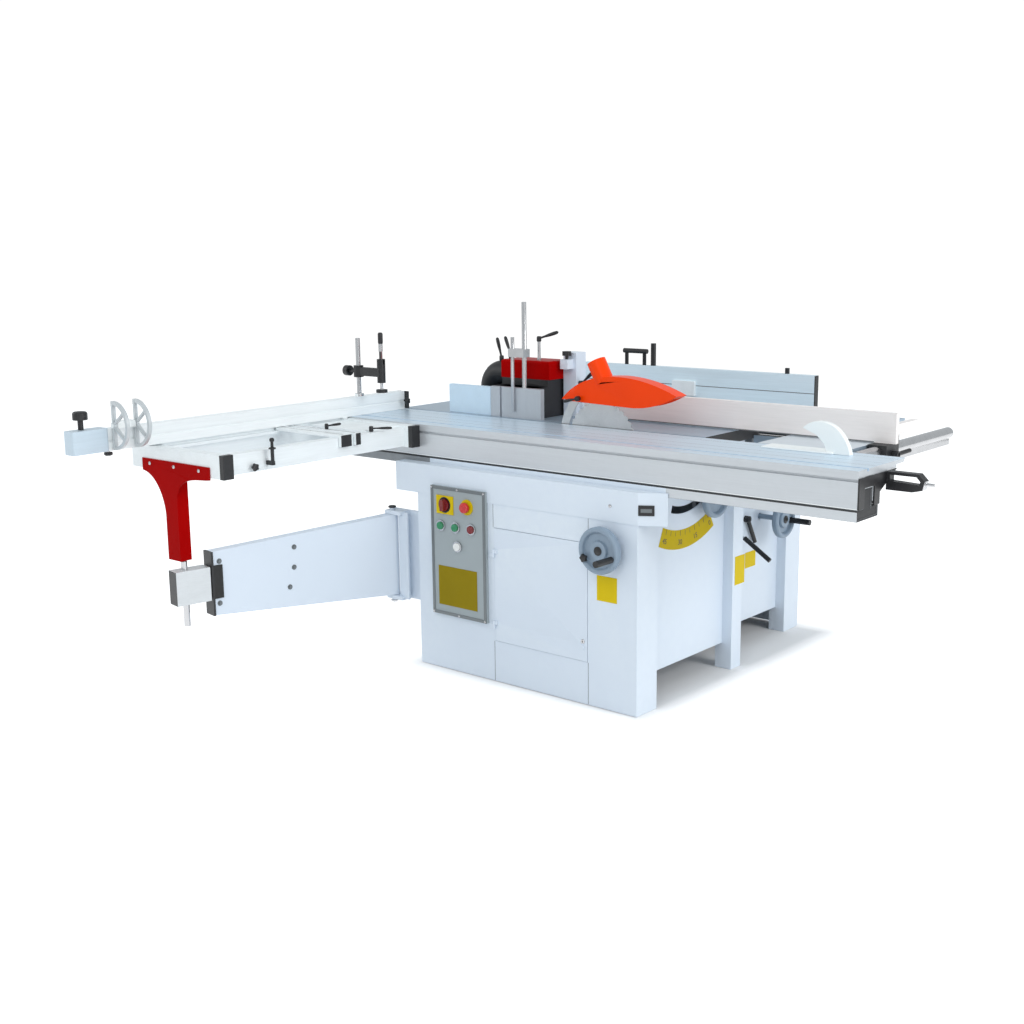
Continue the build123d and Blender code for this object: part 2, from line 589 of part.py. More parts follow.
# Carriage: wide plate over a downward channel that wraps the spine; thin far edge beside the tilting blade
CARRIAGE_WALL = 10
CARRIAGE_ROOF = 858
EDGE_THICK = 12
EDGE_Y = 250
RIB = 10
RIB_BOTTOM = 790
GUSSET = ((190, 868), (BEAM_DEPTH, 815))
SLOT_Z = (857, 865)
SLOT_DEEP = 8
TOP_SLOT = (56, 68)
with BuildPart() as carriage:
    roof = SPINE_TOP + GAP
    near_rib = SPINE[0] - GAP
    far_rib = SPINE[1] + GAP
    prism_x(
        [
            (0, CARRIAGE_BOTTOM),
            (0, TABLE_Z),
            (CARRIAGE_DEPTH, TABLE_Z),
            (CARRIAGE_DEPTH - EDGE_THICK, TABLE_Z - EDGE_THICK),
            (EDGE_Y, TABLE_Z - EDGE_THICK),
            (EDGE_Y, GUSSET[0][1]),
            *GUSSET,
            (BEAM_DEPTH, CARRIAGE_BOTTOM),
            (BEAM_DEPTH - CARRIAGE_WALL, CARRIAGE_BOTTOM),
            (BEAM_DEPTH - CARRIAGE_WALL, CARRIAGE_ROOF),
            (far_rib + RIB, CARRIAGE_ROOF),
            (far_rib + RIB, RIB_BOTTOM),
            (far_rib, RIB_BOTTOM),
            (far_rib, roof),
            (near_rib, roof),
            (near_rib, RIB_BOTTOM),
            (near_rib - RIB, RIB_BOTTOM),
            (near_rib - RIB, CARRIAGE_ROOF),
            (CARRIAGE_WALL, CARRIAGE_ROOF),
            (CARRIAGE_WALL, CARRIAGE_BOTTOM),
        ],
        BEAM_X,
    )
    block(BEAM_X, (SPINE[0] + 4, SPINE[1] - 4), (roof + 8, TABLE_Z - 22), mode=Mode.SUBTRACT)
    block(BEAM_X, (0, SLOT_DEEP), SLOT_Z, mode=Mode.SUBTRACT)
    block(BEAM_X, TOP_SLOT, (TABLE_Z - SLOT_DEEP, TABLE_Z), mode=Mode.SUBTRACT)
carriage.part.label = "carriage"
export_step(carriage.part, "parts/carriage.step")

# End caps of the carriage, open where the spine passes
CAP_THICK = 5
CAP_TOP = 868
CAP_CLEAR = 4
with BuildPart() as end_caps:
    for cap_x in ((BEAM_X[0] - CAP_THICK, BEAM_X[0]), (BEAM_X[1], BEAM_X[1] + CAP_THICK)):
        prism_x(
            [(0, CARRIAGE_BOTTOM), (BEAM_DEPTH, CARRIAGE_BOTTOM), (BEAM_DEPTH, 812), (245, CAP_TOP), (0, CAP_TOP)],
            cap_x,
        )
        block(
            cap_x, (SPINE[0] - CAP_CLEAR, SPINE[1] + CAP_CLEAR), (CARRIAGE_BOTTOM, SPINE_TOP + CAP_CLEAR),
            mode=Mode.SUBTRACT,
        )
end_caps.part.label = "end_caps"
export_step(end_caps.part, "parts/end_caps.step")

# Push handle: a D-shaped loop on the right end cap
HANDLE_X = BEAM_X[1] + CAP_THICK
HANDLE_Y = (170, 200)
HANDLE_Z = (813, CAP_TOP)
with BuildPart() as push_handle:
    prism_y(
        [
            (HANDLE_X, HANDLE_Z[1]), (HANDLE_X + 100, HANDLE_Z[1]), (HANDLE_X + 120, HANDLE_Z[1] - 20),
            (HANDLE_X + 114, HANDLE_Z[0] + 8), (HANDLE_X + 82, HANDLE_Z[0]), (HANDLE_X, HANDLE_Z[0]),
        ],
        HANDLE_Y,
    )
    prism_y(
        [
            (HANDLE_X + 12, HANDLE_Z[1] - 9), (HANDLE_X + 94, HANDLE_Z[1] - 9), (HANDLE_X + 106, HANDLE_Z[1] - 22),
            (HANDLE_X + 103, HANDLE_Z[1] - 32), (HANDLE_X + 12, HANDLE_Z[1] - 28),
        ],
        HANDLE_Y, mode=Mode.SUBTRACT,
    )
    rod_x((HANDLE_X + 110, HANDLE_X + 144), (HANDLE_Y[0] + HANDLE_Y[1]) / 2, HANDLE_Z[0] + 25, 5)
push_handle.part.label = "push_handle"
export_step(push_handle.part, "parts/push_handle.step")

# Edging shoe: a hump-backed fin with a flat tongue on the carriage
SHOE_Y = (240, 262)
SHOE_TONGUE = (330, 560)
SHOE_HEEL = SHOE_TONGUE[1] + 74
with BuildPart() as edging_shoe:
    with BuildSketch(Plane.XZ.offset(-SHOE_Y[0])):
        with BuildLine():
            Spline(
                (SHOE_HEEL, TABLE_Z), (SHOE_HEEL - 20, TABLE_Z + 50), (SHOE_HEEL - 58, TABLE_Z + 87),
                (SHOE_HEEL - 113, TABLE_Z + 98), (SHOE_HEEL - 164, TABLE_Z + 74),
            )
            Polyline(
                (SHOE_HEEL - 164, TABLE_Z + 74), (SHOE_HEEL - 118, TABLE_Z + 56), (SHOE_HEEL - 90, TABLE_Z + 30),
                (SHOE_HEEL - 78, TABLE_Z), (SHOE_HEEL, TABLE_Z),
            )
        make_face()
    extrude(amount=SHOE_Y[0] - SHOE_Y[1])
    block((SHOE_TONGUE[0], SHOE_TONGUE[1] + 20), (SHOE_Y[0] - 10, CARRIAGE_DEPTH - 10), (TABLE_Z, TABLE_Z + 6))
edging_shoe.part.label = "edging_shoe"
export_step(edging_shoe.part, "parts/edging_shoe.step")

# Outrigger frame: two long box bars, two channels across, a plate at the inner end
OUT_X = (-1457, -965)
OUT_Z = (807, 885)
OUT_BAR = 40
OUT_WALL = 4
OUT_REACH = 895
CROSS_TOP = 878
CROSS_BOTTOM = 810
FRONT_CROSS_X = -1040
REAR_CROSS_X = -1375
LEDGE = 15
MITRE_IN = 107
MITRE_X = OUT_X[0] + MITRE_IN
MITRE_Y = -20
MITRE_PIN_R = 8
PLATE_REACH = 200
FENCE_BOTTOM = TABLE_Z + 0.4
with BuildPart() as outrigger_frame:
    for bar_y in ((-OUT_REACH, -OUT_REACH + OUT_BAR), (-OUT_BAR, 0)):
        block(OUT_X, bar_y, OUT_Z)
        block(
            OUT_X, (bar_y[0] + OUT_WALL, bar_y[1] - OUT_WALL), (OUT_Z[0] + OUT_WALL, OUT_Z[1] - OUT_WALL),
            mode=Mode.SUBTRACT,
        )
    cross_y = (-OUT_REACH + OUT_BAR, -OUT_BAR)
    for cross_x in (FRONT_CROSS_X, REAR_CROSS_X):
        block((cross_x, cross_x + OUT_BAR), cross_y, (CROSS_BOTTOM, CROSS_TOP))
        block(
            (cross_x + OUT_WALL, cross_x + OUT_BAR - OUT_WALL), cross_y, (CROSS_BOTTOM, CROSS_TOP - OUT_WALL),
            mode=Mode.SUBTRACT,
        )
    rear_face = REAR_CROSS_X + OUT_BAR
    block((rear_face, rear_face + LEDGE), cross_y, (CROSS_TOP - 10, CROSS_TOP))
    block((REAR_CROSS_X + 8, rear_face - 8), cross_y, (CROSS_TOP, TABLE_Z - 0.5))
    block((rear_face, FRONT_CROSS_X), (-PLATE_REACH, -OUT_BAR), (CROSS_TOP - 4, CROSS_TOP + 4))
    rod_z(MITRE_X, MITRE_Y, OUT_Z, MITRE_PIN_R + 6)
    rod_z(MITRE_X, MITRE_Y, OUT_Z, MITRE_PIN_R + FIT, mode=Mode.SUBTRACT)
outrigger_frame.part.label = "outrigger_frame"
export_step(outrigger_frame.part, "parts/outrigger_frame.step")

# Cross slats: two sliding rests with hanging end blocks
SLATS = ((-366, -316), (-296, -272))
SLAT_TOP = 888
with BuildPart() as cross_slats:
    for slat_y in SLATS:
        block((rear_face + GAP, FRONT_CROSS_X + OUT_BAR + 15), slat_y, (CROSS_TOP, SLAT_TOP))
        block(
            (FRONT_CROSS_X + OUT_BAR + GAP, FRONT_CROSS_X + OUT_BAR + 15), slat_y, (SLAT_TOP - 42, SLAT_TOP),
        )
cross_slats.part.label = "cross_slats"
export_step(cross_slats.part, "parts/cross_slats.step")

# Support bracket: a plate on the outer bar that runs down into a folded post
POST_X = (-1279, -1212)
POST_BOTTOM = 505
BRACKET_TOP = 842
BRACKET_X = (-1396, -1031)
BRACKET_THICK = 4
FLANGE_DEPTH = 41
SHOULDER_Z = BRACKET_TOP - 42
NECK_Z = (SHOULDER_Z - 140, SHOULDER_Z - 80)
with BuildPart() as support_bracket:
    bracket_y = (-OUT_REACH - BRACKET_THICK, -OUT_REACH)
    with BuildSketch(Plane.XZ.offset(-bracket_y[0])):
        with BuildLine():
            Line((BRACKET_X[0], SHOULDER_Z), (BRACKET_X[0], BRACKET_TOP))
            Line((BRACKET_X[0], BRACKET_TOP), (BRACKET_X[1], BRACKET_TOP))
            Line((BRACKET_X[1], BRACKET_TOP), (BRACKET_X[1], SHOULDER_Z))
            Spline(
                (BRACKET_X[1], SHOULDER_Z), (POST_X[1] + 82, SHOULDER_Z - 10), (POST_X[1] + 22, SHOULDER_Z - 35),
                (POST_X[1], NECK_Z[1]),
            )
            Polyline((POST_X[1], NECK_Z[1]), (POST_X[1], POST_BOTTOM), (POST_X[0], POST_BOTTOM), (POST_X[0], NECK_Z[0]))
            Spline(
                (POST_X[0], NECK_Z[0]), (POST_X[0] - 21, SHOULDER_Z - 70), (POST_X[0] - 61, SHOULDER_Z - 22),
                (BRACKET_X[0], SHOULDER_Z),
            )
        make_face()
    extrude(amount=bracket_y[0] - bracket_y[1])
    flange_y = (-OUT_REACH, -OUT_REACH + FLANGE_DEPTH)
    block((POST_X[0], POST_X[0] + BRACKET_THICK), flange_y, (POST_BOTTOM, OUT_Z[0]))
    block((POST_X[1] - BRACKET_THICK, POST_X[1]), flange_y, (POST_BOTTOM, OUT_Z[0]))
    block(POST_X, flange_y, (POST_BOTTOM, POST_BOTTOM + BRACKET_THICK))
support_bracket.part.label = "support_bracket"
export_step(support_bracket.part, "parts/support_bracket.step")

# Crosscut fence: hollow extrusion on a mitre pin, with the clamp post and the block of the flip stops
FENCE_HALF = 20
FENCE_X = (MITRE_X - FENCE_HALF, MITRE_X + FENCE_HALF)
FENCE_Y = (-1068, 300)
FENCE_TOP = 962
FENCE_WALL = 8
POST_Y = 70
POST_R = 9
POST_TOP = 1185
STOP_OUT = 8
STOP_X = FENCE_X[1] + STOP_OUT
STOP_Z = 972
STOP_PIN_R = 6
STOP_THICK = 12
STOP_BLOCK_Y = (-1038, -971)
STOP_SIDE = 2
with BuildPart() as crosscut_fence:
    fence_mid = (FENCE_X[0] + FENCE_X[1]) / 2
    block(FENCE_X, FENCE_Y, (FENCE_BOTTOM, FENCE_TOP))
    block(
        (FENCE_X[0] + FENCE_WALL, FENCE_X[1] - FENCE_WALL), FENCE_Y,
        (FENCE_BOTTOM + FENCE_WALL + 4, FENCE_TOP - FENCE_WALL - 4), mode=Mode.SUBTRACT,
    )
    block((FENCE_X[1] - 4, FENCE_X[1]), FENCE_Y, (FENCE_BOTTOM + 30, FENCE_BOTTOM + 38), mode=Mode.SUBTRACT)
    block((fence_mid - 5, fence_mid + 5), FENCE_Y, (FENCE_TOP - 4, FENCE_TOP), mode=Mode.SUBTRACT)
    rod_z(MITRE_X, MITRE_Y, (OUT_Z[0] + 10, FENCE_BOTTOM + FENCE_WALL), MITRE_PIN_R)
    rod_z(MITRE_X, MITRE_Y, (OUT_Z[1] + GAP, FENCE_BOTTOM), MITRE_PIN_R + 10)
    rod_z(fence_mid, POST_Y, (FENCE_TOP - 4, FENCE_TOP + 10), POST_R + 9)
    rod_z(fence_mid, POST_Y, (FENCE_TOP, POST_TOP), POST_R)
    block((STOP_X - 22, STOP_X + 10), STOP_BLOCK_Y, (FENCE_TOP, STOP_Z + 12))
    pin_reach = STOP_SIDE + STOP_THICK + 4
    rod_y(STOP_X, (STOP_BLOCK_Y[0] - pin_reach, STOP_BLOCK_Y[1] + pin_reach), STOP_Z, STOP_PIN_R)
crosscut_fence.part.label = "crosscut_fence"
export_step(crosscut_fence.part, "parts/crosscut_fence.step")

# Fence extension: end body with a mushroom knob, on a bar that slides inside the fence
EXTENSION_Y = (-1202, -1069)
EXTENSION_BAR_END = -640
BAR_CLEAR = 0.5
KNOB_Y = -1152
with BuildPart() as fence_extension:
    block((FENCE_X[0] - 5, FENCE_X[1] + 8), EXTENSION_Y, (FENCE_BOTTOM, FENCE_TOP + 5))
    fillet(fence_extension.edges().filter_by(Axis.Z), 8)
    block(
        (FENCE_X[0] + FENCE_WALL + BAR_CLEAR, FENCE_X[1] - FENCE_WALL - BAR_CLEAR),
        (EXTENSION_Y[1] - 5, EXTENSION_BAR_END),
        (FENCE_BOTTOM + FENCE_WALL + 4 + BAR_CLEAR, FENCE_TOP - FENCE_WALL - 4 - BAR_CLEAR),
    )
    rod_z(fence_mid, KNOB_Y, (FENCE_TOP, FENCE_TOP + 45), 9)
    rod_z(fence_mid, KNOB_Y, (FENCE_TOP + 38, FENCE_TOP + 65), 24)
    fillet(fence_extension.faces().sort_by(Axis.Z)[-1].edges(), 8)
fence_extension.part.label = "fence_extension"
export_step(fence_extension.part, "parts/fence_extension.step")


# Flip stops: spoked half-discs on one pin
STOP_R = 80
STOP_RIM = 11


def flip_stop(y):
    """A half-disc rim with a straight bar, a hub and two spokes, bored for the pin."""
    rod_y(STOP_X, y, STOP_Z, STOP_R)
    rod_y(STOP_X, y, STOP_Z, STOP_R - STOP_RIM, mode=Mode.SUBTRACT)
    block((STOP_X - STOP_R - 1, STOP_X - 5), y, (STOP_Z - STOP_R - 1, STOP_Z + STOP_R + 1), mode=Mode.SUBTRACT)
    block((STOP_X - 5, STOP_X + 5), y, (STOP_Z - STOP_R + 1, STOP_Z + STOP_R - 1))
    rod_y(STOP_X, y, STOP_Z, 11)
    for turn in (-38, 38):
        reach = STOP_R - STOP_RIM / 2
        centre = (
            STOP_X + reach / 2 * math.cos(math.radians(turn)),
            (y[0] + y[1]) / 2,
            STOP_Z + reach / 2 * math.sin(math.radians(turn)),
        )
        with Locations(Location(centre, (0, -turn, 0))):
            Box(reach, y[1] - y[0], 7)
    rod_y(STOP_X, y, STOP_Z, STOP_PIN_R + FIT, mode=Mode.SUBTRACT)


with BuildPart() as flip_stop_inner:
    flip_stop((STOP_BLOCK_Y[1] + STOP_SIDE, STOP_BLOCK_Y[1] + STOP_SIDE + STOP_THICK))
flip_stop_inner.part.label = "flip_stop_inner"
export_step(flip_stop_inner.part, "parts/flip_stop_inner.step")

with BuildPart() as flip_stop_outer:
    flip_stop((STOP_BLOCK_Y[0] - STOP_SIDE - STOP_THICK, STOP_BLOCK_Y[0] - STOP_SIDE))
flip_stop_outer.part.label = "flip_stop_outer"
export_step(flip_stop_outer.part, "parts/flip_stop_outer.step")

# Hold-down: arm on the post with its star knob, lever and plunger
CLAMP_X = -1225
CLAMP_ARM_Z = (1042, 1074)
HOUSING_Z = (1020, 1110)
HOUSING_R = 16
PLUNGER_R = 6
LEVER_PIN_Z = 1102
LEVER_PIN_R = 4
LEVER_TOP = 1209
LEVER_HALF = 4
with BuildPart() as clamp_arm:
    rod_z(fence_mid, POST_Y, (CLAMP_ARM_Z[0] - 6, CLAMP_ARM_Z[1] + 6), 19)
    block((fence_mid, CLAMP_X), (POST_Y - 10, POST_Y + 10), CLAMP_ARM_Z)
    rod_z(CLAMP_X, POST_Y, HOUSING_Z, HOUSING_R)
    rod_x((fence_mid - 60, fence_mid), POST_Y, (CLAMP_ARM_Z[0] + CLAMP_ARM_Z[1]) / 2, 7)
    rod_x((fence_mid - 70, fence_mid - 48), POST_Y, (CLAMP_ARM_Z[0] + CLAMP_ARM_Z[1]) / 2, 20)
    rod_z(fence_mid, POST_Y, (CLAMP_ARM_Z[0] - 6, CLAMP_ARM_Z[1] + 6), POST_R + FIT, mode=Mode.SUBTRACT)
    rod_z(CLAMP_X, POST_Y, HOUSING_Z, PLUNGER_R + FIT, mode=Mode.SUBTRACT)
    block(
        (CLAMP_X - 8, CLAMP_X + HOUSING_R + 2), (POST_Y - LEVER_HALF - GAP, POST_Y + LEVER_HALF + GAP),
        (LEVER_PIN_Z - 12, HOUSING_Z[1] + 2), mode=Mode.SUBTRACT,
    )
    rod_y(CLAMP_X, (POST_Y - HOUSING_R, POST_Y + HOUSING_R), LEVER_PIN_Z, LEVER_PIN_R)
clamp_arm.part.label = "clamp_arm"
export_step(clamp_arm.part, "parts/clamp_arm.step")

with BuildPart() as clamp_lever:
    lever_y = (POST_Y - LEVER_HALF, POST_Y + LEVER_HALF)
    rod_y(CLAMP_X, lever_y, LEVER_PIN_Z, 7)
    block((CLAMP_X - 5, CLAMP_X + 5), lever_y, (LEVER_PIN_Z, LEVER_TOP - 60))
    rod_z(CLAMP_X, POST_Y, (LEVER_TOP - 70, LEVER_TOP), 8)
    fillet(clamp_lever.faces().sort_by(Axis.Z)[-1].edges(), 4)
    rod_y(CLAMP_X, lever_y, LEVER_PIN_Z, LEVER_PIN_R + FIT, mode=Mode.SUBTRACT)
clamp_lever.part.label = "clamp_lever"
export_step(clamp_lever.part, "parts/clamp_lever.step")

with BuildPart() as clamp_plunger:
    rod_z(CLAMP_X, POST_Y, (990, LEVER_PIN_Z - 14), PLUNGER_R)
    rod_z(CLAMP_X, POST_Y, (983, 995), 22)
clamp_plunger.part.label = "clamp_plunger"
export_step(clamp_plunger.part, "parts/clamp_plunger.step")

# Swing arm under the outrigger: tapered box on a pin; built along -Y from its pin, then turned
PIN_AT = (-1065, -50)
ROD_AT = (-1220, -882)
ARM_PIN_R = 10
ARM_BARREL_R = 21
ARM_ROOT_Z = (243.5, 552)
ARM_END_Z = (301, 524)
ARM_HALF = 20
ARM_WALL = 3
ARM_REACH = 752
ARM_PLATE = 8
ARM_PLATE_HALF = 28
BAR_Z = (385, 445)
BAR_HALF = 14
ARM_TURN = math.degrees(math.atan2(ROD_AT[0] - PIN_AT[0], PIN_AT[1] - ROD_AT[1]))
ROD_SET = 94.3
ROD_REACH = ARM_REACH + ROD_SET
EAR = 14
EAR_GAP = 1
ARM_PLACE = Location((PIN_AT[0], PIN_AT[1], 0), (0, 0, ARM_TURN))
with BuildPart() as swing_arm_form:
    root_y = -ARM_BARREL_R
    prism_x(
        [(0, ARM_ROOT_Z[0]), (0, ARM_ROOT_Z[1]), (-ARM_REACH, ARM_END_Z[1]), (-ARM_REACH, ARM_END_Z[0])],
        (-ARM_HALF, ARM_HALF),
    )
    rod_z(0, 0, ARM_ROOT_Z, ARM_BARREL_R)
    prism_x(
        [
            (-70, ARM_ROOT_Z[0] + 14), (-70, ARM_ROOT_Z[1] - 12),
            (-ARM_REACH, ARM_END_Z[1] - 6), (-ARM_REACH, ARM_END_Z[0] + 6),
        ],
        (-ARM_HALF + ARM_WALL, ARM_HALF - ARM_WALL), mode=Mode.SUBTRACT,
    )
    block((-ARM_PLATE_HALF, ARM_PLATE_HALF), (-ARM_REACH - ARM_PLATE, -ARM_REACH), ARM_END_Z)
    block(
        (-BAR_HALF - GAP, BAR_HALF + GAP), (-ARM_REACH - ARM_PLATE, -ARM_REACH),
        (BAR_Z[0] - GAP, BAR_Z[1] + GAP), mode=Mode.SUBTRACT,
    )
    rod_z(0, 0, ARM_ROOT_Z, ARM_PIN_R + FIT, mode=Mode.SUBTRACT)
with BuildPart() as swing_arm:
    with Locations(ARM_PLACE):
        add(swing_arm_form.part)
swing_arm.part.label = "swing_arm"
export_step(swing_arm.part, "parts/swing_arm.step")

# Arm tip: bar that slides in the arm, block, cap and the upright steel rod
TIP_SIDE = 5
TIP_OVER = 44
TIP_Z = (357, 474)
ROD_R = 11
ROD_BOTTOM = 278
ROD_GAP = 2
with BuildPart() as arm_tip_form:
    plate_end = -ARM_REACH - ARM_PLATE
    block((-BAR_HALF, BAR_HALF), (plate_end - TIP_SIDE - 1, -ARM_REACH / 2), BAR_Z)
    block(
        (-ARM_PLATE_HALF, ARM_PLATE_HALF),
        (-ROD_REACH - TIP_OVER, plate_end - TIP_SIDE), TIP_Z,
    )
    rod_z(0, -ROD_REACH, (ROD_BOTTOM, POST_BOTTOM - ROD_GAP), ROD_R)
with BuildPart() as arm_tip:
    with Locations(ARM_PLACE):
        add(arm_tip_form.part)
arm_tip.part.label = "arm_tip"
export_step(arm_tip.part, "parts/arm_tip.step")

# Hinge bracket of the swing arm, with its pin
BRACKET_Y = (-20, -10)
with BuildPart() as arm_bracket:
    ear_low = (ARM_ROOT_Z[0] - EAR_GAP - EAR, ARM_ROOT_Z[0] - EAR_GAP)
    ear_high = (ARM_ROOT_Z[1] + EAR_GAP, ARM_ROOT_Z[1] + EAR_GAP + EAR)
    block((PIN_AT[0] + 40, CAB_LEFT), BRACKET_Y, (ear_low[0], ear_high[1]))
    block((CAB_LEFT - 6, CAB_LEFT), (BRACKET_Y[0], BRACKET_Y[0] + 80), (ear_low[0], ear_high[1]))
    for ear_z in (ear_low, ear_high):
        block((PIN_AT[0] - 20, PIN_AT[0] + 60), (PIN_AT[1] - 20, BRACKET_Y[1]), ear_z)
    rod_z(PIN_AT[0], PIN_AT[1], (ear_low[0] - 8, ear_high[1] + 8), ARM_PIN_R)
arm_bracket.part.label = "arm_bracket"
export_step(arm_bracket.part, "parts/arm_bracket.step")

# Saw table: skin with a rim, spindle opening, spindle housing and two arc seats for the tilting cradle
SPINDLE_X = -790
SPINDLE_Y = 440
SPINDLE_HOLE_R = 90
QUILL_R = 45
HOUSING_WALL = 14
SPINDLE_HOUSING_Z = (650, 800)
CRADLE_R = 118
SEAT_R = 150
SEAT_LEFT = (-600, -590)
SEAT_RIGHT = (-140, -130)
SAW_TABLE_X = (SAW_TABLE_LEFT, SAW_TABLE_RIGHT)
SAW_TABLE_SPAN = (SAW_TABLE_Y, SAW_TABLE_Y + SAW_TABLE_DEPTH)
SKIN_BOTTOM = TABLE_Z - TABLE_SKIN
RIM_WALL = 14
with BuildPart() as saw_table:
    block(SAW_TABLE_X, SAW_TABLE_SPAN, (TABLE_SEAT, TABLE_Z))
    block(
        (SAW_TABLE_X[0] + RIM_WALL, SAW_TABLE_X[1] - RIM_WALL),
        (SAW_TABLE_SPAN[0], SAW_TABLE_SPAN[1] - RIM_WALL), (TABLE_SEAT, SKIN_BOTTOM), mode=Mode.SUBTRACT,
    )
    for pad_x in (LEFT_RAIL, RIGHT_RAIL):
        block(pad_x, (SAW_TABLE_Y + 8, SAW_TABLE_Y + 48), (TABLE_SEAT, SKIN_BOTTOM))
    rod_z(SPINDLE_X, SPINDLE_Y, (SKIN_BOTTOM, TABLE_Z), SPINDLE_HOLE_R, mode=Mode.SUBTRACT)
    rod_z(SPINDLE_X, SPINDLE_Y, SPINDLE_HOUSING_Z, QUILL_R + HOUSING_WALL)
    for rib_x in (SPINDLE_X - QUILL_R - 70, SPINDLE_X + QUILL_R + 54):
        block((rib_x, rib_x + 16), (SPINDLE_Y - 40, SPINDLE_Y + 40), (SPINDLE_HOUSING_Z[1] - 60, SKIN_BOTTOM))
    block(
        (SPINDLE_X - QUILL_R - 70, SPINDLE_X + QUILL_R + 70), (SPINDLE_Y - 40, SPINDLE_Y + 40),
        (SPINDLE_HOUSING_Z[1] - 60, SPINDLE_HOUSING_Z[1] - 40),
    )
    rod_z(SPINDLE_X, SPINDLE_Y, SPINDLE_HOUSING_Z, QUILL_R + FIT, mode=Mode.SUBTRACT)
    for seat_x in (SEAT_LEFT, SEAT_RIGHT):
        ring_sector(CRADLE_R + GAP, SEAT_R, -30, 82, seat_x, SAW_AXIS)
        block(seat_x, (SAW_Y + CRADLE_R + GAP, SAW_Y + SEAT_R), (SKIN_BOTTOM - 22, SKIN_BOTTOM))
saw_table.part.label = "saw_table"
export_step(saw_table.part, "parts/saw_table.step")

# Extension leaves: a ribbed leaf on the left, the infeed leaf on two bars
LEAF_LEFT = (SAW_TABLE_LEFT - LEFT_LEAF_LENGTH, SAW_TABLE_LEFT)
LEAF_RIGHT = (INFEED_LEAF_X, INFEED_LEAF_X + INFEED_LEAF_LENGTH)
LEAF_RIGHT_Y = (SAW_TABLE_Y, SAW_TABLE_Y + INFEED_LEAF_DEPTH)
LEAF_BAR_Z = (835, 862)
with BuildPart() as table_extensions:
    block(LEAF_LEFT, SAW_TABLE_SPAN, (TABLE_SEAT, TABLE_Z))
    block(
        (LEAF_LEFT[0] + RIM_WALL, LEAF_LEFT[1] - RIM_WALL),
        (SAW_TABLE_SPAN[0] + RIM_WALL, SAW_TABLE_SPAN[1] - RIM_WALL),
        (TABLE_SEAT, SKIN_BOTTOM), mode=Mode.SUBTRACT,
    )
    block(LEAF_RIGHT, LEAF_RIGHT_Y, (LEAF_BAR_Z[1], TABLE_Z))
    block(
        (LEAF_RIGHT[0] + RIM_WALL, LEAF_RIGHT[1] - RIM_WALL),
        (LEAF_RIGHT_Y[0] + RIM_WALL, LEAF_RIGHT_Y[1] - RIM_WALL),
        (LEAF_BAR_Z[1], SKIN_BOTTOM), mode=Mode.SUBTRACT,
    )
    for bar_y in ((SAW_TABLE_Y + 20, SAW_TABLE_Y + 50), (SAW_TABLE_SPAN[1] - 40, SAW_TABLE_SPAN[1] - 10)):
        block((SAW_TABLE_RIGHT, LEAF_RIGHT[1]), bar_y, LEAF_BAR_Z)
table_extensions.part.label = "table_extensions"
export_step(table_extensions.part, "parts/table_extensions.step")

# Rip rail: a steel tube on a web and a bar along the infeed leaf
RAIL_X = 610
RAIL_Z = 869
RAIL_R = 20
RAIL_Y = (330, 1030)
WEB_HALF = 6
WEB_Z = (828, 842)
with BuildPart() as rip_rail:
    rod_y(RAIL_X, RAIL_Y, RAIL_Z, RAIL_R)
    block((RAIL_X - WEB_HALF, RAIL_X + WEB_HALF), RAIL_Y, (WEB_Z[0], RAIL_Z))
    rod_y(RAIL_X, RAIL_Y, RAIL_Z, RAIL_R - 4, mode=Mode.SUBTRACT)
    block((LEAF_RIGHT[1], RAIL_X), (RAIL_Y[0], LEAF_RIGHT_Y[1]), WEB_Z)
    block((LEAF_RIGHT[1] - 20, LEAF_RIGHT[1]), (SAW_TABLE_Y + 52, SAW_TABLE_SPAN[1] - 42), (WEB_Z[0], LEAF_BAR_Z[1]))
    block((LEAF_RIGHT[1] - 20, LEAF_RIGHT[1] + 10), (SAW_TABLE_Y + 52, SAW_TABLE_SPAN[1] - 42), WEB_Z)
rip_rail.part.label = "rip_rail"
export_step(rip_rail.part, "parts/rip_rail.step")

# Rip fence: tall plate on a block that slides on the tube, with a flat arm behind
RIP_X = (-600, 652)
RIP_Y = (520, 540)
RIP_Z = (893, 993)
RIP_BLOCK_X = (578, 645)
RIP_BLOCK_Y = (470, 560)
RIP_BLOCK_BOTTOM = 846
RIP_LEVER = (515, 862)
RIP_LEVER_R = 6
with BuildPart() as rip_fence:
    block(RIP_BLOCK_X, RIP_BLOCK_Y, (RIP_BLOCK_BOTTOM, RIP_Z[0]))
    rod_y(RAIL_X, RIP_BLOCK_Y, RAIL_Z, RAIL_R + FIT, mode=Mode.SUBTRACT)
    block(
        (RAIL_X - WEB_HALF - SEAM, RAIL_X + WEB_HALF + SEAM), RIP_BLOCK_Y, (RIP_BLOCK_BOTTOM, RAIL_Z),
        mode=Mode.SUBTRACT,
    )
    rod_x((RIP_BLOCK_X[1] - 10, RIP_BLOCK_X[1] + 12), *RIP_LEVER, RIP_LEVER_R)
    block(RIP_X, RIP_Y, RIP_Z)
    block(RIP_X, (RIP_Y[1] - 6, RIP_Y[1]), (RIP_Z[0] + 44, RIP_Z[0] + 56), mode=Mode.SUBTRACT)
    block((RIP_X[1] - 30, RIP_X[1] - 4), (RIP_Y[1], RIP_Y[1] + 160), (RIP_Z[0] + 30, RIP_Z[0] + 62))
    block((RIP_BLOCK_X[0], RIP_BLOCK_X[1]), (RIP_Y[1], RIP_BLOCK_Y[1]), (RIP_Z[0], RIP_Z[0] + 40))
rip_fence.part.label = "rip_fence"
export_step(rip_fence.part, "parts/rip_fence.step")

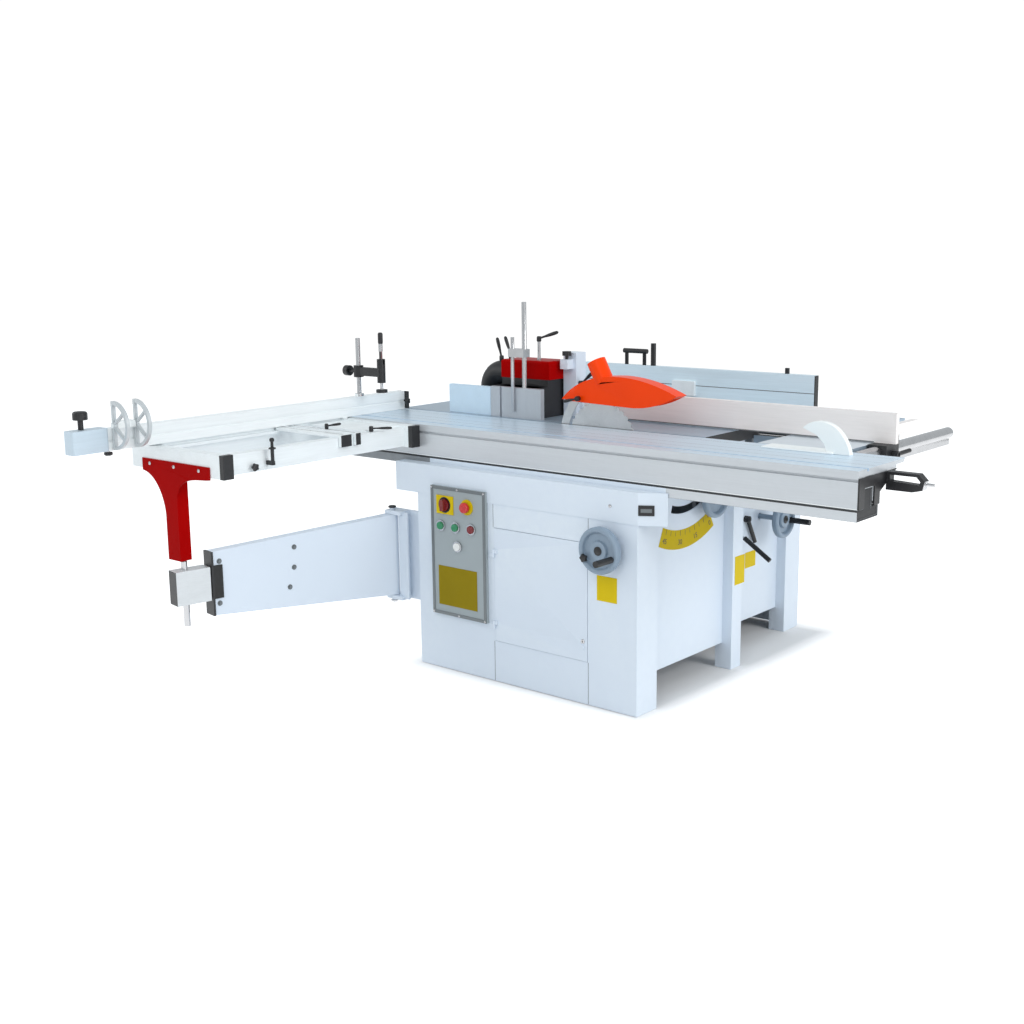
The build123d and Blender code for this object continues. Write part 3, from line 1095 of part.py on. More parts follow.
with BuildPart() as rip_lock_lever:
    boss_x = (RIP_BLOCK_X[1] + GAP, RIP_BLOCK_X[1] + 22)
    rod_x(boss_x, *RIP_LEVER, 11)
    with BuildLine() as rip_path:
        Line((boss_x[1] - 8, RIP_LEVER[0], RIP_LEVER[1]), (boss_x[1] + 4, RIP_LEVER[0] + 70, RIP_LEVER[1] + 6))
    with BuildSketch(Plane(rip_path.line @ 0, z_dir=rip_path.line % 0)):
        Circle(7)
    sweep(path=rip_path.line)
    rod_x(boss_x, *RIP_LEVER, RIP_LEVER_R + FIT, mode=Mode.SUBTRACT)
rip_lock_lever.part.label = "rip_lock_lever"
export_step(rip_lock_lever.part, "parts/rip_lock_lever.step")

# Saw cradle: two arc sectors, columns for the carrier, a tie bar and the bearing of the rise handwheel
SAW_X = -366
BLADE_R = 150
BLADE_THICK = 3.2
ARBOR_Z = 835
COLUMN_X = (-490, -240)
COLUMN_Y = SAW_Y + 67
COLUMN_R = 12
CRADLE_ARM_Y = (SAW_Y + 52, SAW_Y + 82)
CRADLE_ARM_Z = (808, 838)
TIE_Z = (548, 572)
SHAFT_BLOCK = 22
with BuildPart() as saw_cradle:
    for sector_x in (SEAT_LEFT, SEAT_RIGHT):
        ring_sector(70, CRADLE_R, -20, 75, sector_x, SAW_AXIS)
    block((SEAT_LEFT[0], COLUMN_X[0] + COLUMN_R), CRADLE_ARM_Y, CRADLE_ARM_Z)
    block((COLUMN_X[1] - COLUMN_R, SEAT_RIGHT[1]), CRADLE_ARM_Y, CRADLE_ARM_Z)
    for column in COLUMN_X:
        rod_z(column, COLUMN_Y, (TIE_Z[0], CRADLE_ARM_Z[1]), COLUMN_R)
    block(
        (COLUMN_X[0] - COLUMN_R, COLUMN_X[1] + COLUMN_R), (COLUMN_Y - COLUMN_R, COLUMN_Y + COLUMN_R), TIE_Z,
    )
    block(
        (COLUMN_X[1] - COLUMN_R, SEAT_RIGHT[0]), (COLUMN_Y - COLUMN_R, SAW_WHEEL_Y + SHAFT_BLOCK),
        (SAW_WHEEL_Z - SHAFT_BLOCK, SAW_WHEEL_Z + SHAFT_BLOCK),
    )
    rod_x((SAW_SHAFT_LEFT, SEAT_RIGHT[0]), SAW_WHEEL_Y, SAW_WHEEL_Z, WHEEL_SHAFT_R + FIT, mode=Mode.SUBTRACT)
saw_cradle.part.label = "saw_cradle"
export_step(saw_cradle.part, "parts/saw_cradle.step")

# Saw carrier: sleeves on the columns, arbor housing, motor plate, and the riving knife as a plate of its own
SLEEVE_Z = (740, 800)
SLEEVE_R = 22
BRIDGE_Y = (COLUMN_Y - 10, COLUMN_Y + 16)
ARBOR_R = 15
ARBOR_HOUSING_Y = (SAW_Y + 14, SAW_Y + 110)
ARBOR_HOUSING_R = 32
PULLEY_Y = (SAW_Y + 114, SAW_Y + 144)
MOTOR_Z = 590
MOTOR_PLATE_Y = (BRIDGE_Y[1], BRIDGE_Y[1] + 12)
MOTOR_FLANGE_Y = (SAW_Y + 148, SAW_Y + 154)
KNIFE_THICK = 2.4
KNIFE_X = -478
KNIFE_PIN_Z = 988
GUARD_PIN_R = 4
HOLDER_X = (-552, -512)
with BuildPart() as saw_carrier:
    for column in COLUMN_X:
        rod_z(column, COLUMN_Y, SLEEVE_Z, SLEEVE_R)
    block(COLUMN_X, BRIDGE_Y, (SLEEVE_Z[0] + 5, SLEEVE_Z[1] - 5))
    block((SAW_X - 34, SAW_X + 34), BRIDGE_Y, (SLEEVE_Z[0] + 5, ARBOR_Z))
    rod_y(SAW_X, ARBOR_HOUSING_Y, ARBOR_Z, ARBOR_HOUSING_R)
    rod_y(SAW_X, ARBOR_HOUSING_Y, ARBOR_Z, ARBOR_R + FIT, mode=Mode.SUBTRACT)
    block((SAW_X - 74, SAW_X + 74), MOTOR_PLATE_Y, (MOTOR_Z - 60, SLEEVE_Z[1] - 5))
    for arm_x in ((SAW_X - 74, SAW_X - 59), (SAW_X + 59, SAW_X + 74)):
        block(arm_x, (MOTOR_PLATE_Y[0], MOTOR_FLANGE_Y[1]), (MOTOR_Z - 40, MOTOR_Z + 40))
    block((SAW_X - 74, SAW_X + 74), MOTOR_FLANGE_Y, (MOTOR_Z - 60, MOTOR_Z + 60))
    rod_y(SAW_X, MOTOR_FLANGE_Y, MOTOR_Z, 20, mode=Mode.SUBTRACT)
    holder_front = SAW_Y + KNIFE_THICK / 2 + SEAT
    block(HOLDER_X, (holder_front, COLUMN_Y - 10), (SLEEVE_Z[1] - 25, SLEEVE_Z[1]))
    block((HOLDER_X[0], COLUMN_X[0]), (COLUMN_Y - 20, COLUMN_Y), (SLEEVE_Z[1] - 25, SLEEVE_Z[1]))
    for column in COLUMN_X:
        rod_z(column, COLUMN_Y, SLEEVE_Z, COLUMN_R + FIT, mode=Mode.SUBTRACT)
    with BuildSketch(Plane.XZ.offset(KNIFE_THICK / 2 - SAW_Y)):
        with BuildLine():
            Polyline((-516, 772), (-554, 772), (-556, 840))
            ThreePointArc((-556, 840), (-539, 920), (-498, 984))
            Polyline((-498, 984), (-482, 1002), (-462, 996), (-470, 968))
            ThreePointArc((-470, 968), (-512, 893), (-519, 810))
            Line((-519, 810), (-516, 772))
        make_face()
        with Locations((KNIFE_X, KNIFE_PIN_Z)):
            Circle(GUARD_PIN_R + FIT, mode=Mode.SUBTRACT)
    extrude(amount=-KNIFE_THICK)
saw_carrier.part.label = "saw_carrier"
export_step(saw_carrier.part, "parts/saw_carrier.step")

# Saw motor with its pulley and belt, on the carrier's flange
MOTOR_R = 70
MOTOR_LENGTH = 160
MOTOR_PULLEY_R = 32
ARBOR_PULLEY_R = 28
with BuildPart() as saw_motor:
    rod_y(SAW_X, (MOTOR_FLANGE_Y[1], MOTOR_FLANGE_Y[1] + MOTOR_LENGTH), MOTOR_Z, MOTOR_R)
    fillet(saw_motor.faces().sort_by(Axis.Y)[-1].edges(), 10)
    rod_y(SAW_X, (PULLEY_Y[0], MOTOR_FLANGE_Y[1]), MOTOR_Z, 12)
    rod_y(SAW_X, PULLEY_Y, MOTOR_Z, MOTOR_PULLEY_R)
    belt_loop(
        Plane.XZ.offset(BELT_EDGE - PULLEY_Y[1]), (SAW_X, ARBOR_Z), ARBOR_PULLEY_R,
        (SAW_X, MOTOR_Z), MOTOR_PULLEY_R, PULLEY_Y[1] - PULLEY_Y[0] - 2 * BELT_EDGE,
    )
saw_motor.part.label = "saw_motor"
export_step(saw_motor.part, "parts/saw_motor.step")

# Saw arbor: shaft, pulley, inner flange, outer washer and nut
FLANGE_R = 24
with BuildPart() as saw_arbor:
    blade_rear = SAW_Y + BLADE_THICK / 2
    blade_front = SAW_Y - BLADE_THICK / 2
    rod_y(SAW_X, (blade_front - 12, PULLEY_Y[1]), ARBOR_Z, ARBOR_R)
    rod_y(SAW_X, (blade_rear, ARBOR_HOUSING_Y[0] - GAP), ARBOR_Z, FLANGE_R)
    rod_y(SAW_X, (blade_front - 4, blade_front), ARBOR_Z, FLANGE_R)
    rod_y(SAW_X, (blade_front - 12, blade_front - 4), ARBOR_Z, 18)
    rod_y(SAW_X, PULLEY_Y, ARBOR_Z, ARBOR_PULLEY_R)
saw_arbor.part.label = "saw_arbor"
export_step(saw_arbor.part, "parts/saw_arbor.step")

# Saw blade with raked teeth, clamped between flange and washer
TEETH = 36
TOOTH_DEPTH = 8
with BuildPart() as saw_blade:
    with BuildSketch(Plane.XZ.offset(-blade_front)):
        with BuildLine():
            rim = []
            for tooth in range(TEETH):
                pitch = 360 / TEETH
                for share, radius in ((0, BLADE_R), (0.42, BLADE_R - 3), (0.72, BLADE_R - TOOTH_DEPTH)):
                    turn = math.radians((tooth + share) * pitch)
                    rim.append((SAW_X + radius * math.cos(turn), ARBOR_Z + radius * math.sin(turn)))
            Polyline(*rim, close=True)
        make_face()
        with Locations((SAW_X, ARBOR_Z)):
            Circle(ARBOR_R + FIT, mode=Mode.SUBTRACT)
    extrude(amount=-BLADE_THICK)
saw_blade.part.label = "saw_blade"
export_step(saw_blade.part, "parts/saw_blade.step")

# Saw guard: hollow fish-shaped hood, open below, with a slanted spout and a pin through the riving knife
GUARD_HALF = 30
GUARD_WALL = 4
SPOUT_R = 34
SPOUT_LEAN = 28
SPOUT_FOOT = (-352, 1050)
SPOUT_LENGTH = 84
KNIFE_SLOT = 6
HEEL_X = KNIFE_X - 25
HEEL_Z = TABLE_Z + 94


def over_table(*offsets):
    """Points (X, Z) given as reach from the riving knife and height over the table."""
    return [(KNIFE_X + reach, TABLE_Z + height) for reach, height in offsets]


with BuildPart() as saw_guard:
    with BuildSketch(Plane.XZ.offset(-SAW_Y + GUARD_HALF)):
        with BuildLine():
            Spline(*over_table((-49, 90), (38, 156), (178, 186), (328, 172), (448, 133)))
            Spline(*over_table((448, 133), (368, 98), (258, 82)))
            Line(*over_table((258, 82), (-49, 90)))
        make_face()
    extrude(amount=-2 * GUARD_HALF)
    with Locations(Location((SPOUT_FOOT[0], SAW_Y, SPOUT_FOOT[1]), (0, -SPOUT_LEAN, 0))):
        Cylinder(SPOUT_R, SPOUT_LENGTH, align=(Align.CENTER, Align.CENTER, Align.MIN))
        Cylinder(
            SPOUT_R - GUARD_WALL, SPOUT_LENGTH, align=(Align.CENTER, Align.CENTER, Align.MIN), mode=Mode.SUBTRACT,
        )
    with BuildSketch(Plane.XZ.offset(-SAW_Y + GUARD_HALF - GUARD_WALL)) as hollow:
        with BuildLine():
            Spline(*over_table((-41, 82), (40, 150), (178, 181), (326, 167), (432, 130)))
            Polyline(*over_table((432, 130), (432, 60), (-41, 60), (-41, 82)))
        make_face()
    extrude(amount=-2 * (GUARD_HALF - GUARD_WALL), mode=Mode.SUBTRACT)
    block(
        (KNIFE_X - 62, KNIFE_X + 24), (SAW_Y - KNIFE_SLOT, SAW_Y + KNIFE_SLOT), (TABLE_Z + 50, TABLE_Z + 126),
        mode=Mode.SUBTRACT,
    )
    block(
        (KNIFE_X - 62, HEEL_X), (SAW_Y - GUARD_HALF - 1, SAW_Y + GUARD_HALF + 1), (TABLE_Z + 50, HEEL_Z),
        mode=Mode.SUBTRACT,
    )
    rod_y(KNIFE_X, (SAW_Y - GUARD_HALF - 6, SAW_Y + GUARD_HALF + 6), KNIFE_PIN_Z, GUARD_PIN_R)
saw_guard.part.label = "saw_guard"
export_step(saw_guard.part, "parts/saw_guard.step")

# Spindle quill, sliding in the housing under the table
QUILL_Z = (575, 825)
SPINDLE_R = 20
with BuildPart() as spindle_quill:
    rod_z(SPINDLE_X, SPINDLE_Y, QUILL_Z, QUILL_R)
    rod_z(SPINDLE_X, SPINDLE_Y, QUILL_Z, SPINDLE_R + FIT, mode=Mode.SUBTRACT)
spindle_quill.part.label = "spindle_quill"
export_step(spindle_quill.part, "parts/spindle_quill.step")

# Spindle: shaft, cutter head and a tall pulley that stays in the belt over the whole rise
SPINDLE_PULLEY_R = 35
SPINDLE_PULLEY_Z = (395, 560)
CUTTER_R = 60
CUTTER_Z = (900, 950)
SPINDLE_TOP = 968
with BuildPart() as spindle:
    rod_z(SPINDLE_X, SPINDLE_Y, (SPINDLE_PULLEY_Z[0], QUILL_Z[1] + 10), SPINDLE_R)
    rod_z(SPINDLE_X, SPINDLE_Y, (QUILL_Z[1] + GAP, CUTTER_Z[0]), SPINDLE_R + 6)
    rod_z(SPINDLE_X, SPINDLE_Y, (CUTTER_Z[0], SPINDLE_TOP), 15)
    rod_z(SPINDLE_X, SPINDLE_Y, CUTTER_Z, CUTTER_R)
    rod_z(SPINDLE_X, SPINDLE_Y, SPINDLE_PULLEY_Z, SPINDLE_PULLEY_R)
spindle.part.label = "spindle"
export_step(spindle.part, "parts/spindle.step")

# Planer body: bed, two cheeks, hinge ears, column socket, and posts for the handwheel and the feed lever
PLANER_AXIS_X = -500
CUTTERBLOCK_R = 47
CUTTERBLOCK_Z = TABLE_Z - CUTTERBLOCK_R
CUTTERBLOCK_SHAFT_R = 17
TABLE_GAP = 104
ROLLER_X = (PLANER_AXIS_X - 85, PLANER_AXIS_X + 85)
ROLLER_Z = 800
ROLLER_R = 22
ROLLER_SHAFT_R = 10
PLANER_SEAT = TABLE_Z - PLANER_TABLE_THICK
CHEEKS = (
    (CHEEK_Y, CHEEK_Y + CHEEK_THICK),
    (MOUTH_Y[1], MOUTH_Y[1] + CHEEK_THICK),
)
BODY_X = (-760, -240)
BED_X = (-855, -190)
BED_Y = (MID_LEG[1] - 18, REAR_LEG[0] + 50)
BED_THICK = 30
HINGE_Y = PLANER_Y + PLANER_DEPTH + 18
HINGE_Z = 860
HINGE_PIN_R = 6
HINGE_R = 12
HINGES = {"outfeed": -685, "infeed": -315}
LUG_HALF = 15
EAR_WIDE = 18
COLUMN_AT = (PLANER_AXIS_X, PLANER_Y + 232)
LIFT_R = 50
SOCKET_R = 75
SOCKET_TOP = 420
FEED_PIN_R = 5
with BuildPart() as planer_body:
    bed_top = BED_Z + BED_THICK
    block(BED_X, BED_Y, (BED_Z, bed_top))
    for cheek in CHEEKS:
        block(BODY_X, cheek, (bed_top, PLANER_SEAT))
        block((PLANER_AXIS_X - 45, PLANER_AXIS_X + 45), cheek, (PLANER_SEAT, PLANER_SEAT + 15))
    for hinge_x in HINGES.values():
        for side in (-1, 1):
            inner_x = hinge_x + side * (LUG_HALF + GAP)
            outer_x = hinge_x + side * (LUG_HALF + GAP + EAR_WIDE)
            block(
                (min(inner_x, outer_x), max(inner_x, outer_x)),
                (CHEEKS[1][1], HINGE_Y + HINGE_R), (PLANER_SEAT - 30, HINGE_Z + HINGE_R),
            )
        reach = LUG_HALF + EAR_WIDE
        rod_x((hinge_x - reach, hinge_x + reach), HINGE_Y, HINGE_Z, HINGE_PIN_R)
    rod_z(*COLUMN_AT, (bed_top, SOCKET_TOP), SOCKET_R)
    rod_z(*COLUMN_AT, (BED_Z, SOCKET_TOP), LIFT_R + FIT, mode=Mode.SUBTRACT)
    for cheek in CHEEKS:
        rod_y(PLANER_AXIS_X, cheek, CUTTERBLOCK_Z, CUTTERBLOCK_SHAFT_R + FIT, mode=Mode.SUBTRACT)
        for roller in ROLLER_X:
            rod_y(roller, cheek, ROLLER_Z, ROLLER_SHAFT_R + FIT, mode=Mode.SUBTRACT)
    block(
        (PLANER_SHAFT_LEFT - 5, BED_X[1]), (PLANER_WHEEL_Y - 25, PLANER_WHEEL_Y + 25),
        (bed_top, PLANER_WHEEL_Z + 30),
    )
    rod_x((PLANER_SHAFT_LEFT - 5, BED_X[1]), PLANER_WHEEL_Y, PLANER_WHEEL_Z, WHEEL_SHAFT_R + FIT, mode=Mode.SUBTRACT)
    block((BED_X[1] - 10, FEED_PIVOT_X + 12), (FEED_LEVER_Y + 14, FEED_LEVER_Y + 22), (BED_Z, FEED_LEVER_Z + 15))
    rod_y(FEED_PIVOT_X, (FEED_LEVER_Y - 14, FEED_LEVER_Y + 22), FEED_LEVER_Z, FEED_PIN_R)
planer_body.part.label = "planer_body"
export_step(planer_body.part, "parts/planer_body.step")


def planer_leaf(x, hinge_x):
    """A planer table with a hollow underside and a hinge lug at the rear."""
    y = (PLANER_Y, PLANER_Y + PLANER_DEPTH)
    block(x, y, (PLANER_SEAT, TABLE_Z))
    block(
        (x[0] + RIM_WALL, x[1] - RIM_WALL), (y[0] + RIM_WALL, y[1] - RIM_WALL),
        (PLANER_SEAT, SKIN_BOTTOM), mode=Mode.SUBTRACT,
    )
    lug_x = (hinge_x - LUG_HALF, hinge_x + LUG_HALF)
    block(lug_x, (y[1], HINGE_Y), (PLANER_SEAT, HINGE_Z + HINGE_R))
    rod_x(lug_x, HINGE_Y, HINGE_Z, HINGE_R - GAP)
    rod_x(lug_x, HINGE_Y, HINGE_Z, HINGE_PIN_R + FIT, mode=Mode.SUBTRACT)


OUTFEED_X = (-1370, PLANER_AXIS_X - TABLE_GAP / 2)
INFEED_X = (PLANER_AXIS_X + TABLE_GAP / 2, 390)
with BuildPart() as outfeed_table:
    planer_leaf(OUTFEED_X, HINGES["outfeed"])
outfeed_table.part.label = "outfeed_table"
export_step(outfeed_table.part, "parts/outfeed_table.step")

with BuildPart() as infeed_table:
    planer_leaf(INFEED_X, HINGES["infeed"])
infeed_table.part.label = "infeed_table"
export_step(infeed_table.part, "parts/infeed_table.step")

# Cutterblock with its pulley, and the two feed rollers
CUTTER_SPAN = (MOUTH_Y[0] + 2, MOUTH_Y[1] - 2)
PLANER_BELT_Y = (HINGE_Y + 2, HINGE_Y + 24)
PLANER_PULLEY_R = 35
with BuildPart() as cutterblock:
    rod_y(PLANER_AXIS_X, CUTTER_SPAN, CUTTERBLOCK_Z, CUTTERBLOCK_R)
    rod_y(PLANER_AXIS_X, (CHEEKS[0][0] + 2, PLANER_BELT_Y[1]), CUTTERBLOCK_Z, CUTTERBLOCK_SHAFT_R)
    rod_y(PLANER_AXIS_X, PLANER_BELT_Y, CUTTERBLOCK_Z, PLANER_PULLEY_R)
cutterblock.part.label = "cutterblock"
export_step(cutterblock.part, "parts/cutterblock.step")


def feed_roller(x):
    """A plain roller with a journal at each end."""
    rod_y(x, CUTTER_SPAN, ROLLER_Z, ROLLER_R)
    rod_y(x, (CHEEKS[0][0] + 2, CHEEKS[1][1] - 2), ROLLER_Z, ROLLER_SHAFT_R)


with BuildPart() as outfeed_roller:
    feed_roller(ROLLER_X[0])
outfeed_roller.part.label = "outfeed_roller"
export_step(outfeed_roller.part, "parts/outfeed_roller.step")

with BuildPart() as infeed_roller:
    feed_roller(ROLLER_X[1])
infeed_roller.part.label = "infeed_roller"
export_step(infeed_roller.part, "parts/infeed_roller.step")

# Thickness table on its lifting column
THICK_X = (-850, -270)
THICK_Z = (610, 660)
LIFT_BOTTOM = 260
with BuildPart() as thickness_table:
    table_y = (MOUTH_Y[0] + 4, MOUTH_Y[1] - 4)
    block(THICK_X, table_y, THICK_Z)
    block(
        (THICK_X[0] + RIM_WALL, THICK_X[1] - RIM_WALL), (table_y[0] + RIM_WALL, table_y[1] - RIM_WALL),
        (THICK_Z[0], THICK_Z[1] - RIM_WALL), mode=Mode.SUBTRACT,
    )
    rod_z(*COLUMN_AT, (LIFT_BOTTOM, THICK_Z[1] - RIM_WALL), LIFT_R)
thickness_table.part.label = "thickness_table"
export_step(thickness_table.part, "parts/thickness_table.step")

# Drive motors: moulder motor on the middle rail, planer motor on the bed, each with shaft and pulley
MOULDER_MOTOR = (-700, 560)
MOULDER_MOTOR_R = 60
MOULDER_MOTOR_Z = (250, 430)
MOULDER_PULLEY_R = 30
MOULDER_BELT_Z = (450, 478)
PLANER_MOTOR = (-800, 312)
PLANER_MOTOR_R = 75
PLANER_MOTOR_Y = (900, 1120)
PLANER_MOTOR_PULLEY_R = 40
with BuildPart() as drive_motors:
    rod_z(*MOULDER_MOTOR, MOULDER_MOTOR_Z, MOULDER_MOTOR_R)
    rod_z(*MOULDER_MOTOR, (MOULDER_MOTOR_Z[1], MOULDER_BELT_Z[1]), 12)
    rod_z(*MOULDER_MOTOR, MOULDER_BELT_Z, MOULDER_PULLEY_R)
    block(
        (MOULDER_MOTOR[0] - 40, MOULDER_MOTOR[0] + 40), (MOULDER_MOTOR[1] - 30, BED_Y[0] - 2),
        (BED_Z, MOULDER_MOTOR_Z[0]),
    )
    rod_y(PLANER_MOTOR[0], PLANER_MOTOR_Y, PLANER_MOTOR[1], PLANER_MOTOR_R)
    rod_y(PLANER_MOTOR[0], (PLANER_MOTOR_Y[1], PLANER_BELT_Y[1]), PLANER_MOTOR[1], 12)
    rod_y(PLANER_MOTOR[0], PLANER_BELT_Y, PLANER_MOTOR[1], PLANER_MOTOR_PULLEY_R)
    block(
        (PLANER_MOTOR[0] - 40, PLANER_MOTOR[0] + 40), (PLANER_MOTOR_Y[0] + 40, PLANER_MOTOR_Y[1] - 40),
        (BED_Z + BED_THICK, PLANER_MOTOR[1]),
    )
drive_motors.part.label = "drive_motors"
export_step(drive_motors.part, "parts/drive_motors.step")

# Drive belts of the moulder and the planer
with BuildPart() as drive_belts:
    belt_loop(
        Plane.XY.offset(MOULDER_BELT_Z[0] + BELT_EDGE), (SPINDLE_X, SPINDLE_Y), SPINDLE_PULLEY_R,
        MOULDER_MOTOR, MOULDER_PULLEY_R, MOULDER_BELT_Z[1] - MOULDER_BELT_Z[0] - 2 * BELT_EDGE,
    )
    belt_loop(
        Plane.XZ.offset(BELT_EDGE - PLANER_BELT_Y[1]), (PLANER_AXIS_X, CUTTERBLOCK_Z), PLANER_PULLEY_R,
        PLANER_MOTOR, PLANER_MOTOR_PULLEY_R, PLANER_BELT_Y[1] - PLANER_BELT_Y[0] - 2 * BELT_EDGE,
    )
drive_belts.part.label = "drive_belts"
export_step(drive_belts.part, "parts/drive_belts.step")

# Planer fence: tall extrusion with a foot on the outfeed table, loop handle and levers
PLANER_FENCE_X = (-1100, 34)
PLANER_FENCE_Y = (1130, 1158)
PLANER_FENCE_Z = (902, 1028)
LOOP_X = (-850, -760)
LOOP_TOP = 1085
FENCE_LEVER_X = -715
with BuildPart() as planer_fence:
    fence_line = (PLANER_FENCE_Y[0] + PLANER_FENCE_Y[1]) / 2
    block(PLANER_FENCE_X, PLANER_FENCE_Y, PLANER_FENCE_Z)
    block(
        PLANER_FENCE_X, (PLANER_FENCE_Y[1] - 8, PLANER_FENCE_Y[1]), (PLANER_FENCE_Z[0] + 40, PLANER_FENCE_Z[1] - 40),
        mode=Mode.SUBTRACT,
    )
    block((OUTFEED_X[1] - 200, OUTFEED_X[1] - 20), PLANER_FENCE_Y, (TABLE_Z, PLANER_FENCE_Z[0]))
    block((-604, -496), (PLANER_FENCE_Y[0] - 14, PLANER_FENCE_Y[0]), (918, 976))
    for post_x in LOOP_X:
        rod_z(post_x, fence_line, (PLANER_FENCE_Z[1], LOOP_TOP), 8)
    rod_x((LOOP_X[0] - 14, LOOP_X[1] + 14), fence_line, LOOP_TOP, 10)
    rod_z(FENCE_LEVER_X, fence_line, (PLANER_FENCE_Z[1], PLANER_FENCE_Z[1] + 92), 11)
    rod_z(-90, fence_line, (PLANER_FENCE_Z[1], PLANER_FENCE_Z[1] + 22), 9)
planer_fence.part.label = "planer_fence"
export_step(planer_fence.part, "parts/planer_fence.step")

# Moulder hood: open-fronted base, cover, elbow outlet and rear body with its knob, each a solid of its own
HOOD_X = (-915, -690)
HOOD_REAR = 560
HOOD_TOP = 1031
HOOD_WALL = 15
COVER_X = (-920, -683)
COVER_Y = (415, 540)
COVER_TOP = 1100
OUTLET_R = 46
OUTLET_Y = 480
OUTLET_Z = 1042
OUTLET_X = -1022
OUTLET_BEND = 58
OUTLET_WALL = 4
OUTLET_END = TABLE_Z + 40
COVER_WALL = 8
REAR_BODY_X = (COVER_X[1] + SEAT, -622)
REAR_BODY_Y = (500, HOOD_REAR)
REAR_BODY_TOP = 1130
LEDGE = 36
LEDGE_TOP = 1106
CHEEK_FACE = (335, 355)
CHEEK_X = (-905, -660)
CHEEK_TOP = 1004
with BuildPart() as moulder_hood:
    block(HOOD_X, (CHEEK_FACE[1] + SEAT, HOOD_REAR), (TABLE_Z + SEAT, HOOD_TOP))
    block(
        (HOOD_X[0] + HOOD_WALL, HOOD_X[1] - HOOD_WALL), (CHEEK_FACE[1] + SEAT, HOOD_REAR - HOOD_WALL),
        (TABLE_Z + SEAT, CHEEK_TOP), mode=Mode.SUBTRACT,
    )
    block(HOOD_X, (CHEEK_FACE[1] + SEAT, COVER_Y[0]), (CHEEK_TOP, HOOD_TOP), mode=Mode.SUBTRACT)
    block(COVER_X, COVER_Y, (HOOD_TOP + SEAT, COVER_TOP))
    fillet(moulder_hood.faces().sort_by(Axis.Z)[-1].edges(), 10)
    block(
        (COVER_X[0] + COVER_WALL, COVER_X[1] - COVER_WALL), (COVER_Y[0] + COVER_WALL, COVER_Y[1] - COVER_WALL),
        (HOOD_TOP + SEAT, COVER_TOP - COVER_WALL), mode=Mode.SUBTRACT,
    )
    block(
        (HOOD_X[0] + 30, HOOD_X[1] - 30), (COVER_Y[0] + 20, COVER_Y[1] - 20), (CHEEK_TOP, HOOD_TOP),
        mode=Mode.SUBTRACT,
    )
    rod_x((COVER_X[0], COVER_X[0] + COVER_WALL), OUTLET_Y, OUTLET_Z, OUTLET_R - OUTLET_WALL, mode=Mode.SUBTRACT)
    with BuildLine() as outlet_path:
        Line((COVER_X[0] - SEAT, OUTLET_Y, OUTLET_Z), (OUTLET_X + OUTLET_BEND, OUTLET_Y, OUTLET_Z))
        ThreePointArc(
            (OUTLET_X + OUTLET_BEND, OUTLET_Y, OUTLET_Z),
            (
                OUTLET_X + OUTLET_BEND * (1 - math.sqrt(0.5)), OUTLET_Y,
                OUTLET_Z - OUTLET_BEND * (1 - math.sqrt(0.5)),
            ),
            (OUTLET_X, OUTLET_Y, OUTLET_Z - OUTLET_BEND),
        )
        Line((OUTLET_X, OUTLET_Y, OUTLET_Z - OUTLET_BEND), (OUTLET_X, OUTLET_Y, OUTLET_END))
    with BuildSketch(Plane(outlet_path.line @ 0, z_dir=outlet_path.line % 0)) as outlet_section:
        Circle(OUTLET_R)
        Circle(OUTLET_R - OUTLET_WALL, mode=Mode.SUBTRACT)
    sweep(outlet_section.sketch, path=outlet_path.line)
    block(REAR_BODY_X, REAR_BODY_Y, (TABLE_Z + SEAT, REAR_BODY_TOP))
    knob_x = (REAR_BODY_X[0] + REAR_BODY_X[1]) / 2
    knob_y = REAR_BODY_Y[0] - LEDGE / 2
    block(
        (knob_x - LEDGE / 2, knob_x + LEDGE / 2), (REAR_BODY_Y[0] - LEDGE, REAR_BODY_Y[0]),
        (LEDGE_TOP - LEDGE, LEDGE_TOP),
    )
    rod_z(knob_x, knob_y, (LEDGE_TOP, LEDGE_TOP + 16), 6)
    rod_z(knob_x, knob_y, (LEDGE_TOP + 14, LEDGE_TOP + 30), 17)
moulder_hood.part.label = "moulder_hood"
export_step(moulder_hood.part, "parts/moulder_hood.step")

# Hood fences: left plate, grooved cheek, and two presser rods in a cross clamp
ROD1 = (-790, 330)
ROD2 = (-746, 346)
ROD1_Z = (915, 1193)
ROD2_Z = (CHEEK_TOP, 1323)
ROD1_R = 7
ROD2_R = 9
CROSS_Z = (1120, 1150)
LEFT_PLATE = (-1130, HOOD_X[0] - SEAT)
with BuildPart() as hood_fences:
    block(LEFT_PLATE, (345, 365), (TABLE_Z + SEAT, 999))
    block(CHEEK_X, CHEEK_FACE, (TABLE_Z + SEAT, CHEEK_TOP))
    block((-860, -850), (CHEEK_FACE[0], CHEEK_FACE[0] + 8), (TABLE_Z + SEAT, CHEEK_TOP), mode=Mode.SUBTRACT)
    block((ROD1[0] - 14, ROD2[0] + 16), (ROD1[1] - 10, ROD2[1] + 12), CROSS_Z)
    rod_z(*ROD1, ROD1_Z, ROD1_R)
    rod_z(*ROD2, ROD2_Z, ROD2_R)
hood_fences.part.label = "hood_fences"
export_step(hood_fences.part, "parts/hood_fences.step")
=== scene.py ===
"""Looks of a combination woodworking machine: materials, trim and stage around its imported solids."""

import json
import math

import bmesh
import bpy
from mathutils import Matrix, Vector


